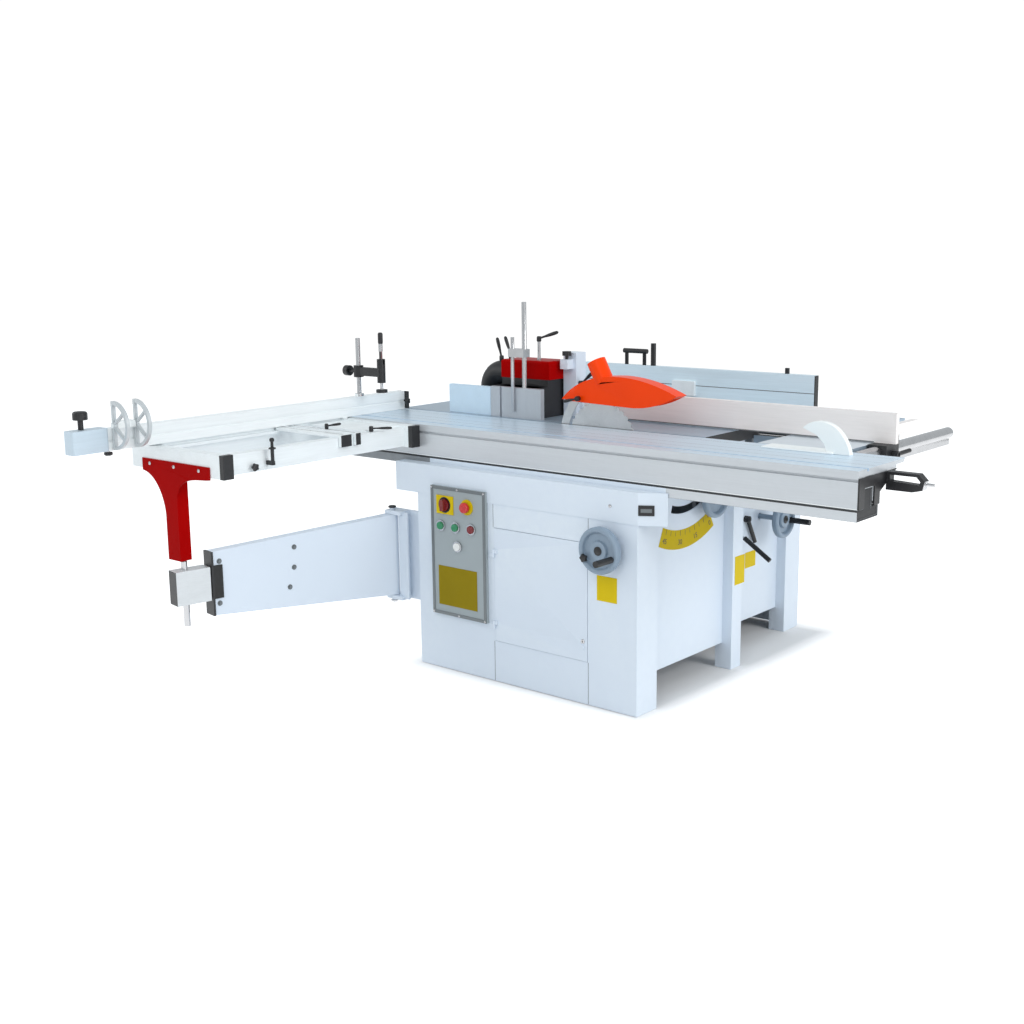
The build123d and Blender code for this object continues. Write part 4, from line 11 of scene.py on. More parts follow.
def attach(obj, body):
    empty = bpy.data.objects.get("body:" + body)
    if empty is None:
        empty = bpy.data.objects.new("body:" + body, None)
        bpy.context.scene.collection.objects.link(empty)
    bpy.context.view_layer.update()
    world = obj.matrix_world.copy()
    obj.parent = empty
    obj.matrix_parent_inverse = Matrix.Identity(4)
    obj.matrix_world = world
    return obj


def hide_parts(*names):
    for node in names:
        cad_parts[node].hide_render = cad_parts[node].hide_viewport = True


bl_info = {
    "name": "Combination Woodworking Machine",
    "version": (1, 0, 0),
    "blender": (4, 5, 0),
    "location": "View3D > Sidebar > Machine",
    "description": "Finishes and trim of a saw, moulder and planer on one cabinet",
    "category": "Object",
}

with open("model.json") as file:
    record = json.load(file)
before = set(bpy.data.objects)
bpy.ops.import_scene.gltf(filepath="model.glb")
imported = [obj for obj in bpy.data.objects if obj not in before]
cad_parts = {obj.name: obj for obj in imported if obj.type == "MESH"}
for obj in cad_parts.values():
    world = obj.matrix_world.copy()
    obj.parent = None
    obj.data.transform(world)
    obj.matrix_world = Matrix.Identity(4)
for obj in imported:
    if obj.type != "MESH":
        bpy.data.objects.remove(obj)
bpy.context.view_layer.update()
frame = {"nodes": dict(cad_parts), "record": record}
NODE_BODY = {n: b for b, nodes in frame["record"]["behaviour"]["bodies"].items() for n in nodes}
MM = 0.001

# Places on the solids, in millimetres; ANY lets every place in
ANY = (-9999, 9999)
FRONT = -50
DOOR_X = (-561, -152)
DOOR_GAP = 4
JOINT_BELOW_DOOR = (4, 150)
JOINT_ABOVE_DOOR = (564, 646)
PANEL_X = (-850, -590)
PANEL_Z = (211, 686)
PANEL_DEPTH = 14
BORDER = 12
TABLE_TOP = 890
BEAM_X = (-1470, 781)
BEAM_FACE_Z = (741, 769.4)
BEAM_SKIN = (-0.4, 0)
APRON_X = (-912, 124)
ARM_PIN = Vector((-1065, -50, 0))
ARM_AHEAD = Vector((-0.18315, -0.98309, 0))
ARM_OUT = Vector((0.98309, -0.18315, 0))
ARM_HALF = 20

# Tilt scale: centre (Y, Z), radii and sizes in millimetres, angles in degrees from straight down
SCALE_CENTRE = (318, 890)
SCALE_FACE = -15
SCALE_ZERO = 26.3
SCALE_SWEEP = (-23, 29)
SCALE_RADII = (325, 392)
RIM_STEPS = 40
TICK_HALF = 0.16
TICK_END = 346
TICK_START, LONG_TICK_START = 329, 326
NUMBER_RADIUS = 368
NUMBER_SIZE = 26
POINTER_RADII = (271, 344)
POINTER_HALF = 2.2

# Forms and shading that the pieces share: angles in degrees, lengths in metres, the lever's hub in millimetres
SHARP_ANGLE = 35
FLAT_ANGLE = 0.3
SAME_PLACE = 2e-5
BEVEL_STEPS = 2
HAIR_EDGE = 0.0002
THIN_EDGE = 0.0004
FINE_EDGE = 0.0006
TRIM_EDGE = 0.0008
CAST_EDGE = 0.001
SHOE_EDGE = 0.002
GUARD_EDGE = 0.003
NUMBER_DEPTH = 0.0002
LOBES = 5
STEPS_PER_LOBE = 8
LOBE_DEPTH = 0.13
HUB_MIDDLE = 12
BUMP_DISTANCE = 0.002
COAT_ROUGHNESS = 0.12
BROAD_SHARE, FINE_SHARE = 0.6, 0.4
GRAIN_SPAN = (0.35, 0.65)
WORN_SPAN = (0.52, 0.62)
WEAR_SCALE = 35
DUST_SCALE = 9
DUST_DETAIL = 5

# Stage, in metres, degrees and watts, lens in millimetres: turn is yaw, pitch, roll; lamps are place, size, power
FLOOR_LEVEL = -0.0005
LIT_POINT = (-0.3, 0.2, 0.6)
CAMERA_PLACE = (2.5183, -3.5603, 1.5542)
CAMERA_TURN = (-40.48, 11.35, 0.69)
FOCAL_LENGTH = 47.96
SENSOR_WIDTH = 36
SIGHT = 100
LAMPS = (("key", (1.5, -4.5, 4.5), 3.5, 64), ("left_fill", (-5.0, -3.0, 3.0), 3.5, 44),
         ("right_rim", (5.0, 0.5, 3.0), 3.0, 125))
FLOOR_COLOUR = (0.86, 0.86, 0.86, 1)
FLOOR_GLOW = 0.62
SKY_COLOUR = (0.92, 0.97, 1, 1)
SKY_STRENGTH, SKY_LIFT = 0.70, 0.35
# Box under the cabinet where the floor carries a painted shadow, and the width it fades over
CABINET_MIDDLE_AND_HALF = (("X", -0.43, 0.47), ("Y", 0.59, 0.62))
SHADOW_WIDTH = 0.12


# Sizes and colours that a user would change
def colour_prop(name, description, default):
    return bpy.props.FloatVectorProperty(
        name=name, description=description, subtype="COLOR", size=3, min=0, max=1, default=default)


def length_prop(name, description, default):
    return bpy.props.FloatProperty(
        name=name, description=description, subtype="DISTANCE", unit="LENGTH", min=0, default=default, precision=4)


class MachineColours(bpy.types.PropertyGroup):
    """Colours of the finishes"""
    cabinet: colour_prop("Cabinet", "Powder coat of cabinet, apron and arm", (0.72, 0.80, 0.90))
    guard: colour_prop("Guard", "Painted saw guard", (1.0, 0.06, 0.001))
    red: colour_prop("Red", "Support bracket, moulder cover and stop parts", (0.40, 0.001, 0.001))
    yellow: colour_prop("Yellow", "Scale and plates", (0.72, 0.53, 0.003))
    panel: colour_prop("Panel", "Control panel", (0.38, 0.43, 0.45))
    wheel: colour_prop("Wheels", "Handwheels", (0.26, 0.34, 0.43))
    alu: colour_prop("Aluminium", "Extrusions of table and fences", (0.78, 0.82, 0.86))
    iron: colour_prop("Iron", "Ground cast tables", (0.40, 0.50, 0.60))
    steel: colour_prop("Steel", "Rods, blade and shafts", (0.56, 0.56, 0.57))
    black: colour_prop("Black", "Knobs, levers and caps", (0.012, 0.012, 0.014))


class MachineSizes(bpy.types.PropertyGroup):
    """Sizes of the trim"""
    edge: length_prop("Edge", "Rounding of sheet and cast edges", 0.0012)
    seam: length_prop("Seam", "Width of the panel joints", 0.0016)
    floor: length_prop("Floor", "Half width of the floor", 9.0)


def colours():
    return bpy.context.scene.machine_colours


def sizes():
    return bpy.context.scene.machine_sizes


# Shared shader effects
def new_group(name, inputs, outputs):
    group = bpy.data.node_groups.new(name, "ShaderNodeTree")
    for label, kind, default in inputs:
        socket = group.interface.new_socket(label, in_out="INPUT", socket_type=kind)
        socket.default_value = default
    for label, kind in outputs:
        group.interface.new_socket(label, in_out="OUTPUT", socket_type=kind)
    return group, group.nodes.new("NodeGroupInput"), group.nodes.new("NodeGroupOutput")


def node(tree, kind, **settings):
    made = tree.nodes.new(kind)
    for key, value in settings.items():
        setattr(made, key, value)
    return made


def math_node(tree, operation, first, second):
    made = node(tree, "ShaderNodeMath", operation=operation)
    for index, value in enumerate((first, second)):
        if isinstance(value, (int, float)):
            made.inputs[index].default_value = value
        else:
            tree.links.new(value, made.inputs[index])
    return made.outputs[0]


def blend_colour(tree, factor, first, second):
    made = node(tree, "ShaderNodeMix", data_type="RGBA", blend_type="MIX")
    for socket, value in ((made.inputs["Factor"], factor), (made.inputs[6], first), (made.inputs[7], second)):
        if isinstance(value, (int, float, tuple)):
            socket.default_value = value
        else:
            tree.links.new(value, socket)
    return made.outputs[2]


def ramp(tree, value, span):
    """Rises from 0 to 1 over a span of values."""
    made = node(tree, "ShaderNodeMapRange")
    made.inputs["From Min"].default_value, made.inputs["From Max"].default_value = span
    tree.links.new(value, made.inputs["Value"])
    return made.outputs["Result"]


def grain_group():
    """Mottled colour, uneven gloss and fine relief; Stretch draws the grain out along an axis."""
    if "Grain" in bpy.data.node_groups:
        return bpy.data.node_groups["Grain"]
    tree, source, sink = new_group(
        "Grain",
        [("Colour", "NodeSocketColor", (0.8, 0.8, 0.8, 1)), ("Shade", "NodeSocketFloat", 0.1),
         ("Scale", "NodeSocketFloat", 20.0), ("Fine Scale", "NodeSocketFloat", 400.0),
         ("Stretch", "NodeSocketVector", (1, 1, 1)), ("Gloss", "NodeSocketFloat", 0.4),
         ("Gloss Spread", "NodeSocketFloat", 0.1)],
        [("Colour", "NodeSocketColor"), ("Roughness", "NodeSocketFloat"), ("Height", "NodeSocketFloat")])
    place = node(tree, "ShaderNodeTexCoord").outputs["Object"]
    spread = node(tree, "ShaderNodeVectorMath", operation="MULTIPLY")
    tree.links.new(place, spread.inputs[0])
    tree.links.new(source.outputs["Stretch"], spread.inputs[1])
    broad = node(tree, "ShaderNodeTexNoise")
    fine = node(tree, "ShaderNodeTexNoise")
    for texture, scale, detail in ((broad, "Scale", 4), (fine, "Fine Scale", 2)):
        tree.links.new(spread.outputs[0], texture.inputs["Vector"])
        tree.links.new(source.outputs[scale], texture.inputs["Scale"])
        texture.inputs["Detail"].default_value = detail
    both = math_node(tree, "ADD", math_node(tree, "MULTIPLY", broad.outputs["Fac"], BROAD_SHARE),
                     math_node(tree, "MULTIPLY", fine.outputs["Fac"], FINE_SHARE))
    centred = math_node(tree, "SUBTRACT", both, 0.5)
    dark = math_node(tree, "SUBTRACT", 1.0, source.outputs["Shade"])
    darker = node(tree, "ShaderNodeVectorMath", operation="SCALE")
    tree.links.new(source.outputs["Colour"], darker.inputs[0])
    tree.links.new(dark, darker.inputs["Scale"])
    mixed = blend_colour(tree, ramp(tree, both, GRAIN_SPAN), darker.outputs[0], source.outputs["Colour"])
    tree.links.new(mixed, sink.inputs["Colour"])
    swing = math_node(tree, "MULTIPLY", centred, source.outputs["Gloss Spread"])
    tree.links.new(math_node(tree, "ADD", source.outputs["Gloss"], swing), sink.inputs["Roughness"])
    tree.links.new(fine.outputs["Fac"], sink.inputs["Height"])
    return tree


def edge_group():
    """Lightens worn edges."""
    if "Edge Wear" in bpy.data.node_groups:
        return bpy.data.node_groups["Edge Wear"]
    tree, source, sink = new_group(
        "Edge Wear",
        [("Colour", "NodeSocketColor", (0.8, 0.8, 0.8, 1)), ("Worn", "NodeSocketColor", (0.9, 0.9, 0.9, 1)),
         ("Amount", "NodeSocketFloat", 0.3)],
        [("Colour", "NodeSocketColor")])
    edge = ramp(tree, node(tree, "ShaderNodeNewGeometry").outputs["Pointiness"], WORN_SPAN)
    patch = node(tree, "ShaderNodeTexNoise")
    patch.inputs["Scale"].default_value = WEAR_SCALE
    tree.links.new(node(tree, "ShaderNodeTexCoord").outputs["Object"], patch.inputs["Vector"])
    rubbed = math_node(tree, "MULTIPLY", edge, patch.outputs["Fac"])
    factor = math_node(tree, "MULTIPLY", rubbed, source.outputs["Amount"])
    tree.links.new(blend_colour(tree, factor, source.outputs["Colour"], source.outputs["Worn"]), sink.inputs["Colour"])
    return tree


def dust_group():
    """A thin veil of sawdust on faces that look up."""
    if "Dust" in bpy.data.node_groups:
        return bpy.data.node_groups["Dust"]
    tree, source, sink = new_group(
        "Dust",
        [("Colour", "NodeSocketColor", (0.8, 0.8, 0.8, 1)), ("Dust", "NodeSocketColor", (0.72, 0.66, 0.56, 1)),
         ("Amount", "NodeSocketFloat", 0.05)],
        [("Colour", "NodeSocketColor")])
    facing = node(tree, "ShaderNodeSeparateXYZ")
    tree.links.new(node(tree, "ShaderNodeNewGeometry").outputs["Normal"], facing.inputs[0])
    cloud = node(tree, "ShaderNodeTexNoise")
    cloud.inputs["Scale"].default_value = DUST_SCALE
    cloud.inputs["Detail"].default_value = DUST_DETAIL
    tree.links.new(node(tree, "ShaderNodeTexCoord").outputs["Object"], cloud.inputs["Vector"])
    up = math_node(tree, "MAXIMUM", facing.outputs["Z"], 0.0)
    settled = math_node(tree, "MULTIPLY", up, cloud.outputs["Fac"])
    factor = math_node(tree, "MULTIPLY", settled, source.outputs["Amount"])
    tree.links.new(blend_colour(tree, factor, source.outputs["Colour"], source.outputs["Dust"]), sink.inputs["Colour"])
    return tree


def place_group(tree, group, **values):
    made = tree.nodes.new("ShaderNodeGroup")
    made.node_tree = group
    for key, value in values.items():
        made.inputs[key.replace("_", " ")].default_value = value
    return made


def finish(name, colour, gloss, shade=0.08, scale=14.0, fine=420.0, stretch=(1, 1, 1), spread=0.15, relief=0.02,
           metal=0.0, coat=0.0, worn=None, wear=0.25, dust=0.0, specular=0.5):
    """A procedural material from the shared effects."""
    label = name + "_finish"
    if label in bpy.data.materials:
        return bpy.data.materials[label]
    made = bpy.data.materials.new(label)
    made.use_nodes = True
    tree = made.node_tree
    shader = tree.nodes["Principled BSDF"]
    base = (*colour, 1)
    grain = place_group(tree, grain_group(), Colour=base, Shade=shade, Scale=scale, Fine_Scale=fine, Stretch=stretch,
                        Gloss=gloss, Gloss_Spread=spread)
    light = worn or tuple(min(1, c * 1.25 + 0.03) for c in colour)
    edge = place_group(tree, edge_group(), Worn=(*light, 1), Amount=wear)
    tree.links.new(grain.outputs["Colour"], edge.inputs["Colour"])
    last = edge.outputs["Colour"]
    if dust:
        veil = place_group(tree, dust_group(), Amount=dust)
        tree.links.new(last, veil.inputs["Colour"])
        last = veil.outputs["Colour"]
    tree.links.new(last, shader.inputs["Base Color"])
    tree.links.new(grain.outputs["Roughness"], shader.inputs["Roughness"])
    bump = node(tree, "ShaderNodeBump")
    bump.inputs["Strength"].default_value = relief
    bump.inputs["Distance"].default_value = BUMP_DISTANCE
    tree.links.new(grain.outputs["Height"], bump.inputs["Height"])
    tree.links.new(bump.outputs["Normal"], shader.inputs["Normal"])
    shader.inputs["Metallic"].default_value = metal
    shader.inputs["Coat Weight"].default_value = coat
    shader.inputs["Coat Roughness"].default_value = COAT_ROUGHNESS
    shader.inputs["Specular IOR Level"].default_value = specular
    made.diffuse_color = base
    return made


def powder_coat():
    return finish("white_powder_coat", colours().cabinet, 0.38, shade=0.025, scale=3, fine=900, relief=0.05, wear=0.3)


def red_coat():
    return finish("red_coat", colours().red, 0.3, shade=0.1, scale=6, fine=700, relief=0.03, wear=0.0,
                  specular=0.02)


def orange_coat():
    return finish("orange_coat", colours().guard, 0.32, shade=0.06, scale=8, fine=600, relief=0.02, specular=0.15)


def drawn_alu(name, colour, stretch, metal=0.3, gloss=0.36):
    """Anodised extrusion with its grain drawn out along the bar."""
    return finish(name, colour, gloss, shade=0.08, scale=30, fine=260, stretch=stretch, metal=metal, relief=0.03,
                  dust=0.03)


def alu_side():
    return drawn_alu("alu_table_side", tuple(0.74 * v for v in colours().alu), (0.04, 1, 1))


# Lighter, bluer copy of the table aluminium for top faces: painted light.
def alu_top():
    return drawn_alu("alu_table_top_painted_light", (0.62, 0.75, 0.87), (0.04, 1, 1), 0.25, 0.3)


def alu_warm():
    return drawn_alu("alu_rip_fence", (0.95, 0.90, 0.88), (0.04, 1, 1), 0.08)


def alu_cool():
    return drawn_alu("alu_planer_fence", (0.78, 0.92, 1.0), (0.04, 1, 1), 0.12)


def alu_cross():
    return drawn_alu("alu_crosscut_fence", (0.95, 0.99, 1.0), (1, 0.04, 1), 0.08)


def alu_pale():
    return drawn_alu("alu_pale", (0.90, 0.95, 0.97), (1, 0.04, 1), 0.12, 0.42)


def ground_iron():
    return finish("ground_iron", colours().iron, 0.34, shade=0.14, scale=22, fine=320, stretch=(0.06, 1, 1),
                  metal=0.45, relief=0.03, dust=0.05)


def cast_paint():
    return finish("cast_paint", (0.30, 0.32, 0.34), 0.55, shade=0.2, scale=40, fine=300, relief=0.12, metal=0.1)


def bright_steel():
    return finish("bright_steel", colours().steel, 0.22, shade=0.12, scale=40, fine=500, stretch=(1, 1, 0.08),
                  metal=1.0, relief=0.02)


def blade_steel():
    return finish("blade_steel", (0.62, 0.62, 0.62), 0.3, shade=0.12, scale=24, fine=340, metal=0.9, relief=0.02)


def black_plastic():
    return finish("black_plastic", colours().black, 0.42, shade=0.3, scale=60, fine=900, relief=0.08,
                  worn=(0.06, 0.06, 0.065))


def grey_plastic():
    return finish("grey_plastic", colours().wheel, 0.4, shade=0.1, scale=30, fine=800, relief=0.05, wear=0.35)


def leaf_grey():
    return finish("leaf_grey", (0.66, 0.72, 0.77), 0.4, shade=0.06, scale=18, fine=500, relief=0.03, metal=0.2)


def pale_plastic():
    return finish("pale_plastic", (0.94, 0.98, 0.98), 0.35, shade=0.04, scale=12, fine=700, relief=0.03)


def blue_grey():
    return finish("blue_grey_plate", (0.68, 0.84, 0.98), 0.4, shade=0.06, scale=20, fine=500, relief=0.03, metal=0.1)


def panel_grey():
    return finish("panel_grey", colours().panel, 0.5, shade=0.05, scale=10, fine=800, relief=0.03, specular=0.2)


def yellow_plate():
    return finish("yellow_plate", colours().yellow, 0.45, shade=0.05, scale=15, fine=500, relief=0.02, specular=0.15)


def gold_plate():
    return finish("gold_plate", tuple(0.40 * v for v in colours().yellow), 0.45, shade=0.08, scale=15, fine=500,
                  relief=0.02, specular=0.1)


def scale_yellow():
    return finish("scale_yellow", tuple(0.80 * v for v in colours().yellow), 0.45, shade=0.06, scale=15, fine=500,
                  relief=0.02, specular=0.1)


def cast_alu():
    return finish("cast_alu", (0.62, 0.66, 0.68), 0.38, shade=0.1, scale=24, fine=500, relief=0.06, metal=0.3)


def alu_cheek():
    return drawn_alu("alu_cheek", (0.50, 0.53, 0.57), (1, 1, 0.05), 0.35)


def alu_extension():
    return drawn_alu("alu_extension", (0.60, 0.71, 0.80), (1, 0.04, 1), 0.2)


def alu_tip():
    return drawn_alu("alu_tip", (0.66, 0.69, 0.71), (1, 0.04, 1), 0.25)


def panel_rim():
    return finish("panel_rim", (0.17, 0.19, 0.20), 0.4, shade=0.08, scale=20, fine=500, relief=0.03, metal=0.4)


# Near-black painted shade: beam ends, the gap under the carriage, and shaded faces of the saw and planer tables.
def dark_iron():
    return finish("dark_iron", (0.02, 0.021, 0.023), 0.6, shade=0.2, scale=30, fine=400, relief=0.06)


def signal_red():
    return finish("signal_red", (0.62, 0.012, 0.012), 0.28, shade=0.06, scale=30, fine=500, relief=0.02, coat=0.5)


def deep_red():
    return finish("deep_red", (0.20, 0.006, 0.008), 0.28, shade=0.06, scale=30, fine=500, relief=0.02, coat=0.3)


def signal_green():
    return finish("signal_green", (0.005, 0.23, 0.085), 0.28, shade=0.06, scale=30, fine=500, relief=0.02, coat=0.5)


def lamp_white():
    return finish("lamp_white", (0.85, 0.86, 0.84), 0.2, shade=0.03, scale=30, fine=500, relief=0.01, coat=0.6)


def dark_seam():
    return finish("dark_seam", (0.16, 0.17, 0.18), 0.6, shade=0.2, scale=30, fine=500, relief=0.02)


def belt_rubber():
    return finish("belt_rubber", (0.02, 0.02, 0.02), 0.7, shade=0.3, scale=50, fine=500, relief=0.1)


def motor_paint():
    return finish("motor_paint", (0.10, 0.13, 0.16), 0.45, shade=0.12, scale=20, fine=500, relief=0.05)


# Making and placing pieces
def settle(piece, body):
    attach(piece, body)
    return piece


def mesh_piece(name, form, materials, edge=0.0, angle=SHARP_ANGLE):
    """An object from a bmesh in metres, smooth-shaded up to an angle, with rounded edges."""
    mesh = bpy.data.meshes.new(name)
    bmesh.ops.recalc_face_normals(form, faces=form.faces[:])
    form.to_mesh(mesh)
    form.free()
    for material in materials:
        mesh.materials.append(material)
    for polygon in mesh.polygons:
        polygon.use_smooth = True
    mesh.set_sharp_from_angle(angle=math.radians(angle))
    piece = bpy.data.objects.new(name, mesh)
    bpy.context.scene.collection.objects.link(piece)
    if edge:
        rounding = piece.modifiers.new("Rounded edges", "BEVEL")
        rounding.width = edge
        rounding.segments = BEVEL_STEPS
        rounding.limit_method = "ANGLE"
        rounding.angle_limit = math.radians(angle)
        rounding.harden_normals = True
    return piece


def in_zone(point, zone):
    return all(low * MM <= value <= high * MM for value, (low, high) in zip(point, zone))


def dress(name, material, zones=(), edge=None, angle=SHARP_ANGLE):
    """Shows a CAD node with rounded edges, and with other materials inside the given boxes in millimetres."""
    form = bmesh.new()
    form.from_mesh(frame["nodes"][name].data)
    for layer in [a.name for a in form.loops.layers.float_vector.values()]:
        form.loops.layers.float_vector.remove(form.loops.layers.float_vector[layer])
    bmesh.ops.remove_doubles(form, verts=form.verts[:], dist=SAME_PLACE)
    bmesh.ops.dissolve_limit(form, angle_limit=math.radians(FLAT_ANGLE), verts=form.verts[:], edges=form.edges[:])
    for face in form.faces:
        middle = face.calc_center_median()
        face.material_index = next(
            (index + 1 for index, (_, *zone) in enumerate(zones) if in_zone(middle, zone)), 0)
    width = sizes().edge if edge is None else edge
    piece = mesh_piece(name + "_finish", form, [material, *[zone[0] for zone in zones]], width, angle)
    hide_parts(name)
    return settle(piece, NODE_BODY[name])


def coat(name, material):
    """Gives a CAD node that stays as it is a finish."""
    mesh = frame["nodes"][name].data
    mesh.materials.clear()
    mesh.materials.append(material)


def slab(name, x, y, z, material, body, edge=TRIM_EDGE):
    """A rounded block between limits in millimetres."""
    form = bmesh.new()
    bmesh.ops.create_cube(form, size=1)
    for vert in form.verts:
        vert.co = Vector([low + (high - low) * (value + 0.5) for value, (low, high) in zip(vert.co, (x, y, z))]) * MM
    return settle(mesh_piece(name, form, [material], edge), body)


def slanted(name, middle, along, out, size, material, body):
    """A block on a slanted upright face: size is (along the face, out of it, up) in millimetres."""
    form = bmesh.new()
    bmesh.ops.create_cube(form, size=1)
    for vert in form.verts:
        x, y, z = vert.co
        vert.co = (middle + along * (size[0] * x) + out * (size[1] * (y + 0.5)) + Vector((0, 0, size[2] * z))) * MM
    return settle(mesh_piece(name, form, [material], TRIM_EDGE), body)


def towards(direction):
    return Vector(direction).normalized().to_track_quat("Z", "Y").to_matrix().to_4x4()


def turned(name, foot, direction, profile, material, body, steps=24, edge=0.0):
    """A turned form: profile holds (radius, height) in millimetres along a direction from its foot."""
    form = bmesh.new()
    rings = []
    for radius, height in profile:
        if radius <= 0:
            rings.append([form.verts.new((0, 0, height * MM))])
            continue
        rings.append([
            form.verts.new((radius * MM * math.cos(a), radius * MM * math.sin(a), height * MM))
            for a in [2 * math.pi * i / steps for i in range(steps)]])
    for low, high in zip(rings, rings[1:]):
        for i in range(steps):
            j = (i + 1) % steps
            corners = [low[i % len(low)], low[j % len(low)], high[j % len(high)], high[i % len(high)]]
            unique = list(dict.fromkeys(corners))
            if len(unique) > 2:
                form.faces.new(unique)
    for ring in (rings[0], rings[-1]):
        if len(ring) > 2:
            form.faces.new(ring)
    form.transform(Matrix.Translation(Vector(foot) * MM) @ towards(direction))
    return settle(mesh_piece(name, form, [material], edge), body)


def bolt(name, foot, direction, radius, body, material=None):
    """A hexagon head on a washer."""
    metal = material or bright_steel()
    turned(name + "_washer", foot, direction, [(radius * 1.55, 0), (radius * 1.55, radius * 0.25)], metal, body)
    head = [(radius, radius * 0.25), (radius, radius * 0.9), (radius * 0.8, radius * 1.05)]
    return turned(name, foot, direction, head, metal, body, steps=6, edge=THIN_EDGE)


def screw(name, foot, direction, radius, body):
    """A round pan head with a socket."""
    profile = [(radius, 0), (radius, radius * 0.35), (radius * 0.8, radius * 0.6), (radius * 0.45, radius * 0.66),
               (radius * 0.42, radius * 0.3), (0, radius * 0.3)]
    return turned(name, foot, direction, profile, bright_steel(), body, steps=16)


def star_knob(name, foot, direction, radius, height, body, stem=8):
    """A lobed clamping knob on a stem."""
    form = bmesh.new()
    count = LOBES * STEPS_PER_LOBE
    rings = []
    for level, share in ((0, 0.78), (0.15, 0.95), (0.6, 1.0), (0.88, 0.9), (1.0, 0.62)):
        ring = []
        for i in range(count):
            a = 2 * math.pi * i / count
            reach = radius * share * (1 - LOBE_DEPTH * (1 + math.cos(LOBES * a)))
            place = Vector((reach * math.cos(a), reach * math.sin(a), stem + level * height))
            ring.append(form.verts.new(place * MM))
        rings.append(ring)
    for low, high in zip(rings, rings[1:]):
        for i in range(count):
            j = (i + 1) % count
            form.faces.new((low[i], low[j], high[j], high[i]))
    form.faces.new(rings[0])
    form.faces.new(rings[-1])
    form.transform(Matrix.Translation(Vector(foot) * MM) @ towards(direction))
    shank = [(radius * 0.35, 0), (radius * 0.35, stem + 2)]
    turned(name + "_stem", foot, direction, shank, bright_steel(), body)
    return settle(mesh_piece(name, form, [black_plastic()], FINE_EDGE), body)


def clamp_lever(name, foot, direction, reach, grip, body, hub=9):
    """A clamping lever: a hub on its stud and a grip that swells along its reach."""
    turned(name + "_hub", foot, direction, [(hub * 0.8, 0), (hub, 3), (hub, 16), (hub * 0.8, 20), (0, 21)],
           black_plastic(), body)
    start = Vector(foot) + Vector(direction).normalized() * HUB_MIDDLE
    length = Vector(reach).length
    profile = [(grip * 0.55, 0), (grip * 0.6, length * 0.3), (grip * 0.9, length * 0.55), (grip, length * 0.8),
               (grip * 0.85, length * 0.95), (grip * 0.4, length), (0, length + 0.5)]
    return turned(name, start, reach, profile, black_plastic(), body)


def arc_points(centre, radius, start, end, count):
    """Points (Y, Z) on an arc, its angles counted from straight down towards the rear."""
    return [
        (centre[0] + radius * math.sin(math.radians(a)), centre[1] - radius * math.cos(math.radians(a)))
        for a in [start + (end - start) * i / count for i in range(count + 1)]]


def plate_x(name, outline, x, material, body, edge=THIN_EDGE):
    """A plate cut to a (Y, Z) outline between two X planes, in millimetres."""
    form = bmesh.new()
    near = [form.verts.new(Vector((x[1], y, z)) * MM) for y, z in outline]
    far = [form.verts.new(Vector((x[0], y, z)) * MM) for y, z in outline]
    form.faces.new(near)
    form.faces.new(far[::-1])
    for i in range(len(outline)):
        j = (i + 1) % len(outline)
        form.faces.new((near[i], far[i], far[j], near[j]))
    return settle(mesh_piece(name, form, [material], edge), body)


def numeral(name, text, place, size, turn, material, body):
    """Raised digits on a plate that faces +X; place is (X, Y, Z) in millimetres, turn about X in degrees."""
    curve = bpy.data.curves.new(name, "FONT")
    curve.body = text
    curve.size = size * MM
    curve.align_x = "CENTER"
    curve.align_y = "CENTER"
    curve.extrude = NUMBER_DEPTH
    words = bpy.data.objects.new(name, curve)
    bpy.context.scene.collection.objects.link(words)
    bpy.context.view_layer.update()
    mesh = bpy.data.meshes.new_from_object(words.evaluated_get(bpy.context.evaluated_depsgraph_get()))
    bpy.data.objects.remove(words)
    facing = Matrix(((0, 0, 1, 0), (1, 0, 0, 0), (0, 1, 0, 0), (0, 0, 0, 1)))
    mesh.transform(Matrix.Translation(Vector(place) * MM) @ Matrix.Rotation(math.radians(turn), 4, "X") @ facing)
    mesh.materials.clear()
    mesh.materials.append(material)
    piece = bpy.data.objects.new(name, mesh)
    bpy.context.scene.collection.objects.link(piece)
    return settle(piece, body)


# One operator for each group of pieces
class PieceOperator:
    bl_options = {"REGISTER", "UNDO"}

    def execute(self, context):
        self.make()
        return {"FINISHED"}


